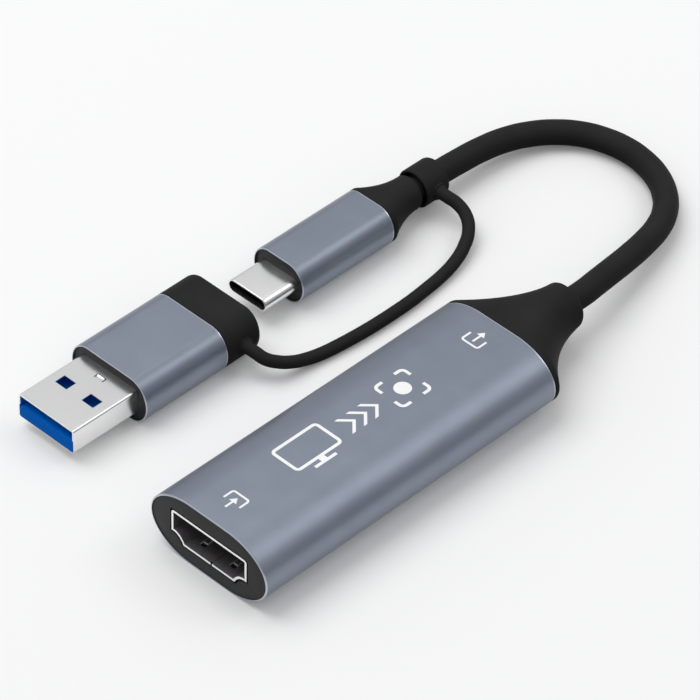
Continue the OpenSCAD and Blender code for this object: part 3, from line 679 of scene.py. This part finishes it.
def makeSocketShell(look):
    low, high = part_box("video_socket_shell")
    wall, slit, fingerX = look["wall"], look["slit"], look["fingerX"]
    notchWide, notchDeep = look["notch"]
    reach = wall * look["cutReach"]
    shell = socketPrism("videoSocketShell", low, high, 0, look)
    hollow(shell, wall)
    wide = look["fingerWidth"] / 2
    start = low.y + look["fingerY"]
    tip, end = start + look["fingerTip"], start + look["fingerLength"]
    for x in (-fingerX, fingerX):
        for z in (low.z, high.z):
            bars = [
                (x - wide, x + wide, tip), (x - wide, x - wide + slit, end), (x + wide - slit, x + wide, end)]
            for x0, x1, y1 in bars:
                cutBox(shell, (x0, start, z - reach), (x1, y1, z + reach))
    selectOnly(shell)
    editMode()
    splitAt((0, end - look["fingerRoot"], 0), (0, 1, 0))
    for z, lift in ((low.z, look["fingerLift"]), (high.z, -look["fingerLift"])):  # tips sprung inwards
        pick("VERT", lambda co: (
            abs(co.y - tip) < near and abs(co.z - z) < reach
            and abs(abs(co.x) - fingerX) < wide - 0.5 * slit))
        shift(0, 0, lift)
    objectMode()
    for gap, rear in ((look["seam"], high.y + mm), (notchWide, low.y + notchDeep)):
        cutBox(
            shell, (look["seamX"] - gap / 2, low.y - mm, low.z - mm),
            (look["seamX"] + gap / 2, rear, low.z + reach))
    softEdges(shell, look["edge"])
    settle(
        shell, "capture_box", ["video_socket_shell"], "plugSteel", angle=30,
        flatSheets=True)
    shadeInside(shell, low, high, wall)
    rimPaint, shadePaint, edgeHighlightPaint = addPaints(shell, "brightEdge", "deepBlackAndShade", "stampedEdgeHighlight")
    for face in shell.data.polygons:
        across, deep = abs(face.center.x - look["seamX"]), face.center.y - low.y
        inNotch = (
            across < notchShadePaint["across"] * notchWide and deep < notchShadePaint["deep"] * notchDeep
            and face.center.z < low.z + notchShadePaint["high"] * wall)
        inWindow = (
            abs(abs(face.center.x) - fingerX) < windowHighlightPaint["across"] * wide
            and deep > windowHighlightPaint["from"] * look["fingerY"] and abs(face.normal.z) < windowHighlightPaint["steep"])
        # the notch's faces past its front are painted near-black as painted shade, and its front gets the
        # bright rim
        if inNotch:
            face.material_index = shadePaint if deep > notchShadePaint["front"] * notchDeep else rimPaint
        elif face.normal.y < -slanted and deep < look["rim"]:
            face.material_index = rimPaint
        # the finger window walls get a pale matte grey: a stamped edge, and a painted highlight where the
        # edges catch light
        elif inWindow:
            face.material_index = edgeHighlightPaint


# Hole for the shell, and a wider groove round its mouth
def bezelCutters(look):
    low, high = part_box("front_bezel")
    socketLow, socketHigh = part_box("video_socket_shell")
    grooveWide, grooveDeep = look["groove"]
    cutLow = Vector((socketLow.x, low.y - mm, socketLow.z))
    for grow, rear in ((look["gap"], high.y + mm), (grooveWide, low.y + grooveDeep)):
        yield socketPrism("cutter", cutLow, Vector((socketHigh.x, rear, socketHigh.z)), grow, socketLook)


makeSocketShell(socketLook)
makeInsert("front_bezel", bezelLook, *bezelCutters(bezelLook))
print("video socket and bezel made")


# Moulded strain reliefs: flange, hollow taper, round neck with a rounded end

reliefLooks = {
    "strain_relief": {
        "name": "strainRelief", "sleeve": "housing_sleeve", "neck": 7.9 * mm, "flange": 0.8 * mm,
        "lip": 0.8 * mm, "rise": 0.6 * mm, "hold": 2, "fill": 0.6 * mm},
    "plug_strain_relief": {
        "name": "plugStrainRelief", "sleeve": "plug_sleeve", "neck": 5.9 * mm, "flange": 0.8 * mm,
        "lip": 0.6 * mm, "rise": 0, "hold": 1, "fill": 0.5 * mm},
}
neckFlat = 0.4 * mm
taperSteps = 20
lipSteps = 8
seamLook = {"gap": 0.02 * mm, "trim": 0.08 * mm, "run": 0.1 * mm}


# Start of a moulding in a sleeve's rear: what fills the sleeve, a fine seam, the full outline
def rearSections(node, sleeve, fill):
    rear, size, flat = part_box(sleeve)[1].y, extent(sleeve)[3], sleeveLooks[sleeve]["flat"]
    return [
        oval(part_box(node)[0].y, size, flat, fill),
        oval(rear + seamLook["gap"], size, flat, fill),
        oval(rear + seamLook["gap"], size, flat, seamLook["trim"]),
        oval(rear + seamLook["run"], size, flat)]


def blendTo(a, b, k):
    return a + (b - a) * k


def makeRelief(node, look):
    sleeve, neck, lip, rise = look["sleeve"], look["neck"], look["lip"], look["rise"]
    middle, size = extent(sleeve)[2:]
    flat = sleeveLooks[sleeve]["flat"]
    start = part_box(sleeve)[1].y + look["flange"]
    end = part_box(node)[1].y - lip
    sections = rearSections(node, sleeve, look["fill"])
    for i in range(taperSteps + 1):
        u = i / taperSteps
        wide = (1 - u) ** 2
        tall = (1 - u ** look["hold"]) ** (2 / look["hold"])
        sections.append((
            blendTo(start, end, u),
            blendTo(neck, size.x, wide),
            blendTo(neck, size.z, tall),
            blendTo(neckFlat, flat, wide),
            rise * (1 - tall)))
    for i in range(1, lipSteps + 1):
        turn = math.pi / 2 * i / lipSteps
        trimmed = neck - 2 * lip * (1 - math.cos(turn))
        sections.append((end + lip * math.sin(turn), trimmed, trimmed, neckFlat, rise))
    relief = ovalLoft(look["name"], middle, sections)
    settle(relief, "capture_box", [node], "blackRubber", angle=40)
    return relief


reliefs = {node: makeRelief(node, look) for node, look in reliefLooks.items()}
print("strain reliefs made")


# Type C plug: drawn steel shell with a rolled lip, in a black nose

plugShellLook = {"wall": 0.2 * mm, "lip": 0.12 * mm, "lipSteps": 6, "mouth": (0.15, 0.6)}  # mouth in lips
noseLooks = {
    "plug_nose": {"name": "plugNose", "sleeve": "plug_sleeve", "body": "capture_box", "edge": 0.06 * mm},
    "adapter_nose": {"name": "adapterNose", "sleeve": "adapter_sleeve", "body": "adapter", "edge": 0.06 * mm},
}
noseGap = 0.05 * mm


def makePlugShell(look):
    low, high, middle, size = extent("plug_shell")
    flat = size.x - size.z
    wall, lip = look["wall"], look["lip"]
    mouth = lip + 0.5 * wall
    front, rear = (low.y + share * lip for share in look["mouth"])
    sections = [
        *roundRim(low.y, size.x, size.z, flat, lip, 1, look["lipSteps"]),
        oval(high.y, size, flat),
        oval(high.y, size, flat, wall),
        oval(low.y + lip + wall, size, flat, wall),
        oval(rear, size, flat, mouth),
        oval(front, size, flat, mouth)]
    shell = ovalLoft("plugShell", middle, sections, plugSteps, "tube")
    settle(shell, "capture_box", ["plug_shell"], "plugSteel", angle=40)
    return shell


def plugNoseCutter():
    low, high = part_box("plug_shell")
    return ovalCutter("plug_shell", noseGap, low.y, high.y + mm)


plugShell = makePlugShell(plugShellLook)
plugNose = makeInsert("plug_nose", noseLooks["plug_nose"], plugNoseCutter())
print("type C plug made")


# Type A plug: folded steel shell with latch windows and a lanced tab, round a blue tongue

typeALook = {
    "fold": 0.45 * mm, "foldSteps": 6, "wall": 0.3 * mm, "edge": 0.04 * mm, "lip": 0.1 * mm,
    "rebate": 0.6 * mm, "windowWidth": 2.5 * mm, "windowLength": 2 * mm, "windowPitch": 5.8 * mm,
    "windowFromTip": 6.7 * mm, "tabWidth": 1.9 * mm, "tabLength": 0.95 * mm, "tabSlit": 0.2 * mm,
    "tabFromSleeve": 2.25 * mm, "tabDip": 0.06 * mm, "tabLift": 0.065 * mm,
    "tabBend": (0.62 * mm, 0.42 * mm), "tabCut": 0.5 * mm, "tabRoom": 0.25 * mm, "tabRoomDeep": 1 * mm,
    "tongueEdge": 0.06 * mm, "tongueEdgeSteps": 3, "tongueHeight": 1.85 * mm, "tongueDepth": 9.2 * mm,
    "flangeStart": 0.03 * mm, "liningFrom": 0.5}


# Box with its four long edges rounded
def foldedBox(name, low, high, fold):
    piece = block(name, low, high)
    editMode()
    pick("EDGE", lambda a, b: abs(a.y - b.y) > 0.5 * (high.y - low.y))
    bpy.ops.mesh.bevel(offset=fold, affect="EDGES", segments=typeALook["foldSteps"])
    cleanMesh()
    objectMode()
    return piece


# What fills the step behind the shell's thin front lip, as far up as the tongue
def frontFill(name, low, high, top, start, gap, look):
    lip = look["lip"] + gap
    return foldedBox(
        name, Vector((low.x + lip, low.y + start, low.z + lip)),
        Vector((high.x - lip, low.y + look["rebate"] - gap, top)), look["fold"] - lip)


# Low and high corner of the tab on the plan
def tabPlace(middle, look):
    half = look["tabWidth"] / 2
    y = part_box("adapter_sleeve")[0].y - look["tabFromSleeve"]
    return middle.x - half, y, middle.x + half, y + look["tabLength"]


def makeTypeAShell(look):
    low, high, middle = extent("type_a_shell")[:3]
    shell = foldedBox("typeAShell", low, high, look["fold"])
    hollow(shell, look["wall"])
    half = Vector((look["windowWidth"] / 2, look["windowLength"] / 2, mm))
    for x in (-look["windowPitch"] / 2, look["windowPitch"] / 2):
        for z in (low.z, high.z):
            centre = Vector((middle.x + x, low.y + look["windowFromTip"], z))
            cutBox(shell, centre - half, centre + half)
    top = low.z + look["wall"] + look["tongueHeight"]
    combine(shell, frontFill("cutter", low, high, top + look["fold"], -mm, 0, look), "DIFFERENCE")
    x0, y0, x1, y1 = tabPlace(middle, look)
    slit, deep = look["tabSlit"], look["tabCut"]
    tip = y1 - slit
    for a0, a1, start in ((x0, x1, tip), (x0, x0 + slit, y0), (x1 - slit, x1, y0)):
        cutBox(shell, (a0, start, high.z - deep), (a1, y1, high.z + deep))
    bends = [tip - reach for reach in look["tabBend"]]
    selectOnly(shell)
    editMode()
    for y in bends:
        splitAt((middle.x, y, high.z), (0, 1, 0))
    for y, rise in ((bends[1], -look["tabDip"]), (tip, look["tabLift"])):
        pick("VERT", lambda co: (
            co.z > high.z - deep and abs(co.x - middle.x) < x1 - slit * 0.5 - middle.x
            and abs(co.y - y) < near))
        shift(0, 0, rise)
    objectMode()
    softEdges(shell, look["edge"])
    settle(shell, "adapter", ["type_a_shell"], "plugSteel", angle=25, flatSheets=True)
    shaded = shadeInside(shell, low, high, look["wall"])
    blueWallPaint, = addPaints(shell, "bluePlastic")
    for face in shell.data.polygons:  # inner side walls painted blue: a plastic lining, and a painted reflection of the blue tongue
        if face.material_index == shaded and abs(face.normal.x) > look["liningFrom"]:
            face.material_index = blueWallPaint
    return shell


def makeTypeATongue(look):
    low, high, middle = extent("type_a_tongue")[:3]
    top = low.z + look["tongueHeight"]
    rear = low.y + look["tongueDepth"]
    tongue = block("typeATongue", low, Vector((high.x, high.y, top)))
    editMode()
    splitAt((middle.x, rear, top), (0, 1, 0))
    pick("FACE", lambda centre, normal: normal.z > square and centre.y > rear)
    extrude(0, 0, high.z - top)
    cleanMesh()
    objectMode()
    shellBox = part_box("type_a_shell")
    combine(tongue, frontFill("flange", *shellBox, top, look["flangeStart"], flangeGap, look), "UNION")
    x0, y0, x1, y1 = tabPlace(middle, look)
    room = look["tabRoom"]
    cutBox(
        tongue, (x0 - room, y0 - room, high.z - look["tabRoomDeep"]),
        (x1 + room, y1 + room, high.z + mm))
    softEdges(tongue, look["tongueEdge"], look["tongueEdgeSteps"])
    settle(tongue, "adapter", ["type_a_tongue"], "bluePlastic", flatSheets=True)
    return tongue


# Four long pads on the tongue, and the tips of the five contacts behind them
contactLook = {
    "pads": (-3.5, -1, 1, 3.5), "farPads": (-4, -2, 0, 2, 4),  # mm from the middle
    "wide": 1 * mm, "thick": 0.08 * mm, "pad": (1.6 * mm, 5.5 * mm), "farPad": (6 * mm, 6.7 * mm),
    "edge": 0.03 * mm}


def makeTypeAContacts(look):
    low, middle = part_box("type_a_tongue")[0], extent("type_a_tongue")[2]
    z = low.z + typeALook["tongueHeight"]
    half = look["wide"] / 2
    pads = []
    for places, (start, end) in ((look["pads"], look["pad"]), (look["farPads"], look["farPad"])):
        for place in places:
            x = middle.x + place * mm
            pads.append(block(
                "pad", Vector((x - half, low.y + start, z)),
                Vector((x + half, low.y + end, z + look["thick"]))))
    contacts = joinPieces(pads, "typeAContacts")
    softEdges(contacts, look["edge"])
    settle(contacts, "adapter", ["type_a_contacts"], "goldContact")
    return contacts


def adapterNoseCutter(look):
    low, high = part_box("type_a_shell")
    gap = Vector((noseGap, 0, noseGap))
    return foldedBox(
        "cutter", low - gap, Vector((high.x, high.y + mm, high.z)) + gap, look["fold"])


typeAPieces = [makeTypeAShell(typeALook), makeTypeATongue(typeALook), makeTypeAContacts(contactLook)]
adapterNose = makeInsert("adapter_nose", noseLooks["adapter_nose"], adapterNoseCutter(typeALook))
print("type A plug made")


# Socket block at the rear of the adapter, with its type C socket and the tether's root

blockLook = {
    "round": 1.1 * mm, "roundSteps": 8, "fill": 0.5 * mm, "gap": 0.05 * mm, "rootWide": 3 * mm,
    "rootBuried": 1 * mm, "shellWall": 0.25 * mm, "shellEdge": 0.08 * mm}


def makeSocketBlock(look):
    low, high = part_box("socket_block")
    middle, size = extent("adapter_sleeve")[2:]
    flat = sleeveLooks["adapter_sleeve"]["flat"]
    sections = [
        *rearSections("socket_block", "adapter_sleeve", look["fill"]),
        *roundRim(high.y, size.x, size.z, flat, look["round"], -1, look["roundSteps"])]
    piece = ovalLoft("socketBlock", middle, sections)
    combine(piece, ovalCutter("type_c_socket_shell", look["gap"], low.y - mm, high.y + mm), "DIFFERENCE")
    addRoot(piece, "socket_block", middle.x + size.x / 2, tetherRoute[-1][1], middle.z, look)
    settle(piece, "adapter", ["socket_block"], "blackRubber", angle=40)
    return piece


def makePortShell(look):
    low, high, middle, size = extent("type_c_socket_shell")
    flat = size.x - size.z
    wall, edge = look["shellWall"], look["shellEdge"]
    sections = [
        oval(low.y, size, flat),
        oval(high.y - edge, size, flat),
        oval(high.y, size, flat, edge),
        oval(high.y, size, flat, wall - edge),
        oval(high.y - edge, size, flat, wall),
        oval(low.y, size, flat, wall)]
    shell = ovalLoft("typeCSocketShell", middle, sections, plugSteps, "tube")
    settle(shell, "adapter", ["type_c_socket_shell"], "plugSteel", angle=40)
    return shell


socketPieces = [makeSocketBlock(blockLook), makePortShell(blockLook)]
print("socket block made")


# Collar on the lead, with the tether's other root

collarLook = {
    "outside": 6.7 * mm, "mouth": 6 * mm, "mouthDepth": 2.2 * mm, "mouthFlare": 0.8, "bore": 4.7 * mm,
    "frontRound": 0.28 * mm, "frontSteps": 5, "rearRound": 0.6 * mm, "rearSteps": 6, "lip": 0.12 * mm,
    "frontLand": 0.02 * mm, "rootWide": 3 * mm, "rootBuried": 0.28 * mm}


def makeCollar(look):
    low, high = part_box("tether_collar")
    axis = extent("plug_sleeve")[2]
    outside, mouth, bore, lip = look["outside"], look["mouth"], look["bore"], look["lip"]
    step = low.y + look["mouthDepth"]
    rings = [
        (high.y, bore + 2 * lip),
        (high.y - lip, bore),
        (step, bore),
        (step, mouth),
        (low.y + 0.5 * lip, mouth),
        (low.y + look["frontLand"], mouth + look["mouthFlare"] * lip)]
    sections = [
        *roundRim(low.y, outside, outside, 0, look["frontRound"], 1, look["frontSteps"]),
        *roundRim(high.y, outside, outside, 0, look["rearRound"], -1, look["rearSteps"]),
        *((y, across, across, 0, 0) for y, across in rings)]
    collar = ovalLoft("tetherCollar", axis, sections, ends="tube")
    addRoot(collar, "tether_collar", axis.x + outside / 2, tetherRoute[0][1], axis.z, look)
    settle(collar, "tether_link", ["tether_collar"], "blackRubber", angle=40)
    return collar


tetherCollar = makeCollar(collarLook)
print("collar made")


# Printed marks on the top of the box: plain signs for input, screen, recording and output

markLook = {
    "line": 0.55 * mm, "thinLine": 0.36 * mm, "proud": 0.012 * mm, "sunk": 0.9, "cornerSteps": 6,
    "screen": (6 * mm, 9.6 * mm), "screenAt": (-0.8 * mm, -17.4 * mm), "screenCorner": 0.9 * mm,
    "neck": (1.2 * mm, 0.7 * mm), "standLong": 4.4 * mm,
    "chevrons": (-10.2 * mm, -7.8 * mm, -5.4 * mm), "chevronWide": 3.8 * mm, "chevronBold": 1.3,
    "captureY": 2 * mm, "capture": 6.6 * mm, "captureCorner": 1 * mm, "captureOpen": 2.6 * mm,
    "dot": 2.8 * mm, "dotSteps": 48, "gate": (3.6 * mm, 2.2 * mm), "gateCorner": 0.6 * mm,
    "arrowHead": 1.5 * mm, "arrowPoint": 0.7,
    "inputY": -33.6 * mm, "inputArrow": (-1.3 * mm, 1.5 * mm),
    "outputY": 18.4 * mm, "outputArrow": (-1.3 * mm, 1.7 * mm)}
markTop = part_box("housing_sleeve")[1].z + markLook["proud"]


def flatPlate(x, y, wide, long):
    bpy.ops.mesh.primitive_plane_add(size=1, location=(x, y, markTop))
    bpy.context.object.scale = (wide, long, 1)
    return takeNew("sign")


# Outline of a rounded rectangle
def flatFrame(x, y, wide, long, corner, line):
    outline = flatPlate(x, y, wide, long)
    editMode()
    selectAll()
    bpy.ops.mesh.bevel(offset=corner, affect="VERTICES", segments=markLook["cornerSteps"])
    selectAll()
    bpy.ops.mesh.inset(thickness=line)
    deleteFaces()
    objectMode()
    return outline


# Frame split by two planes across one axis, and what lies between them taken away
def openFrame(outline, axis, low, high):
    selectOnly(outline)
    editMode()
    normal = [0, 0, 0]
    normal[axis] = 1
    for cut in (low, high):
        place = [0, 0, 0]
        place[axis] = cut
        splitAt(place, normal)
    pick("FACE", lambda centre, facing: low < centre[axis] < high)
    deleteFaces()
    objectMode()


# Neck of the screen's stand, widened into its foot along +X
def flatStand(x, y, neck, reach, foot, line):
    stand = flatPlate(x + reach / 2, y, reach, neck)
    editMode()
    pick("EDGE", lambda a, b: min(a.x, b.x) > x + reach / 2)
    extrude(0, 0, 0)
    scaleAbout((x + reach, y, markTop), 1, foot / neck, 1)
    extrude(line, 0, 0)
    objectMode()
    return stand


# Filled disc, inset once so that it bends with the surface
def flatDot(y, across):
    bpy.ops.mesh.primitive_circle_add(
        vertices=markLook["dotSteps"], radius=across / 2, fill_type="NGON", location=(0, y, markTop))
    dot = takeNew("sign")
    editMode()
    selectAll()
    bpy.ops.mesh.inset(thickness=across / 4)
    objectMode()
    return dot


# Bar across the box, split in the middle and drawn to a point along +Y
def flatChevron(y, wide, line):
    chevron = flatPlate(0, y, wide, line)
    editMode()
    splitAt((0, y, markTop), (1, 0, 0))
    pick("VERT", lambda co: abs(co.x) < near)
    shift(0, wide / 2, 0)
    objectMode()
    return chevron


# Shaft along +Y whose end is widened and then drawn to a point
def flatArrow(y, shaft, head, line):
    arrow = flatPlate(0, y + shaft / 2, line, shaft)
    point = head * markLook["arrowPoint"]
    editMode()
    pick("EDGE", lambda a, b: min(a.y, b.y) > y + shaft / 2)
    extrude(0, 0, 0)
    scaleAbout((0, y + shaft, markTop), head / line, 1, 1)
    extrude(0, point, 0)
    scaleAbout((0, y + shaft + point, markTop), 0, 1, 1)
    selectAll()
    bpy.ops.mesh.remove_doubles(threshold=0.1 * near)
    objectMode()
    return arrow


# Bracket that is open on one side, with an arrow along +Y: into it, or out of it
def flatGate(y, opensForward, arrow, look):
    wide, deep = look["gate"]
    arrowStart, shaft = arrow
    bracket = flatFrame(0, y, wide, 2 * deep, look["gateCorner"], look["thinLine"])
    start = y if opensForward else y - 2 * deep
    openFrame(bracket, 1, start, start + 2 * deep)
    return [bracket, flatArrow(y + arrowStart, shaft, look["arrowHead"], look["thinLine"])]


def makeMarks(look):
    line, captureY, half = look["line"], look["captureY"], look["captureOpen"] / 2
    screenWide, screenLong = look["screen"]
    screenX, screenY = look["screenAt"]
    corners = flatFrame(0, captureY, look["capture"], look["capture"], look["captureCorner"], line)
    openFrame(corners, 0, -half, half)
    openFrame(corners, 1, captureY - half, captureY + half)
    signs = [
        corners,
        flatDot(captureY, look["dot"]),
        flatFrame(screenX, screenY, screenWide, screenLong, look["screenCorner"], line),
        flatStand(screenX + screenWide / 2, screenY, *look["neck"], look["standLong"], line)]
    for y in look["chevrons"]:
        signs.append(flatChevron(y, look["chevronWide"], line * look["chevronBold"]))
    signs += flatGate(look["inputY"], False, look["inputArrow"], look)
    signs += flatGate(look["outputY"], True, look["outputArrow"], look)
    marks = joinPieces(signs, "printedMarks")
    addModifier(
        marks, "SHRINKWRAP", target=sleeves["housing_sleeve"], wrap_method="PROJECT", use_project_z=True,
        use_negative_direction=True, use_positive_direction=False, offset=look["proud"])
    addModifier(marks, "SOLIDIFY", thickness=look["proud"] * look["sunk"], offset=-1)
    settle(marks, "capture_box", [], "whiteInk")


makeMarks(markLook)
print("printed marks made")


# Nodes that keep their own shape get a finish

nodeFinishes = {
    "blackPlastic": ["video_socket_tongue", "type_c_socket_tongue", "board_carrier"],
    "deepBlackAndShade": ["plug_insulator"],
    "goldContact": ["video_socket_contacts", "plug_contacts", "type_c_socket_contacts"],
    "greenBoard": ["main_board", "plug_board", "adapter_board"],
    "chipBlack": ["capture_chip", "receiver_chip", "memory_chip"],
    "ferrite": ["power_inductor"],
    "plugSteel": ["crystal"],
    "ceramic": ["capacitors"],
    "wireJacket": ["lead_wires", "plug_wires"],
}
for finish, names in nodeFinishes.items():
    for name in names:
        paint(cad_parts[name], finish)
print("inner nodes finished")


# Cords last: the lead and the tether are painted, their nodes hidden and the pieces at their ends listed

def nodesOf(*names):
    return [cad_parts[name] for name in names]


paint(lead, "blackRubber")
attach(lead, "capture_box")
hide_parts("cable")
plugPieces = [sleeves["plug_sleeve"], plugNose, plugShell, reliefs["plug_strain_relief"]]
plugPieces += nodesOf("plug_insulator", "plug_contacts", "plug_board", "plug_wires")

smooth(tether, angle=60)
paint(tether, "blackRubber")
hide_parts("tether")
adapterPieces = [sleeves["adapter_sleeve"], adapterNose, *typeAPieces, *socketPieces]
adapterPieces += nodesOf("adapter_board", "type_c_socket_tongue", "type_c_socket_contacts")
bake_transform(tether)


# Floor, world and lamps

stageLook = {
    "floor": 6, "floorDrop": 0.01 * mm, "floorTone": (0.8, 0.8, 0.8), "bounceTone": (0.12, 0.12, 0.12),
    "floorLift": 0.088, "floorRough": 0.9, "floorShine": 0.1, "sky": (0.99, 0.993, 1),
    "leftHorizon": 0.52, "rightHorizon": 0.24, "zenith": 0.69, "zenithFrom": 0.8, "sideReach": 0.6}
lampLooks = {
    "keySoftbox": {"at": (-0.4, -0.08, 0.93), "size": 0.8, "power": 5.1},
    "shoulderSoftbox": {"at": (0.315, 0.47, 0.615), "size": 0.36, "power": 0.66},
}


# The floor throws back less light than it shows, and looks lighter to the camera and in reflections
def makeFloor(look):
    bpy.ops.mesh.primitive_plane_add(size=look["floor"], location=(0, 0, -look["floorDrop"]))
    floor = takeNew("studioFloor")
    material = bpy.data.materials.new("paleFloor")
    material.use_nodes = True
    tree = material.node_tree
    rays = addNode(tree, "LightPath", {})
    seen = rays["Is Camera Ray"]
    for kind in ("Is Glossy Ray", "Is Transmission Ray"):
        seen = mathNode(tree, "MAXIMUM", seen, rays[kind])
    feed(tree, tree.nodes["Principled BSDF"], {
        "Base Color": mixColours(tree, rays["Is Diffuse Ray"], look["floorTone"], look["bounceTone"]),
        "Roughness": look["floorRough"], "Specular IOR Level": look["floorShine"],
        "Emission Color": (1, 1, 1, 1),
        "Emission Strength": mathNode(tree, "MULTIPLY", seen, look["floorLift"])})
    floor.data.materials.append(material)


# Sky that brightens from the horizon to the zenith, with a darker right side
def makeWorld(look):
    world = bpy.data.worlds.new("studioWorld")
    bpy.context.scene.world = world
    world.use_nodes = True
    tree = world.node_tree
    coords = addNode(tree, "TexCoord", {})
    place = addNode(tree, "SeparateXYZ", {"Vector": coords["Generated"]})
    reach = look["sideReach"]
    horizon = mapRange(tree, place["X"], (-reach, reach), (look["leftHorizon"], look["rightHorizon"]))
    rise = mapRange(tree, place["Z"], (0, look["zenithFrom"]), (horizon, look["zenith"]))
    feed(tree, tree.nodes["Background"], {"Color": (*look["sky"], 1), "Strength": rise})


def makeLamp(name, look):
    place = Vector(look["at"])
    aim = cameraView["target"] - place
    bpy.ops.object.light_add(
        type="AREA", location=place, rotation=aim.to_track_quat("-Z", "Y").to_euler())
    lamp = bpy.context.object
    lamp.name = name
    lamp.data.size = look["size"]
    lamp.data.energy = look["power"]


makeFloor(stageLook)
makeWorld(stageLook)
for lampName, lampLook in lampLooks.items():
    makeLamp(lampName, lampLook)
bpy.context.scene.view_settings.view_transform = "Standard"
print("stage made")
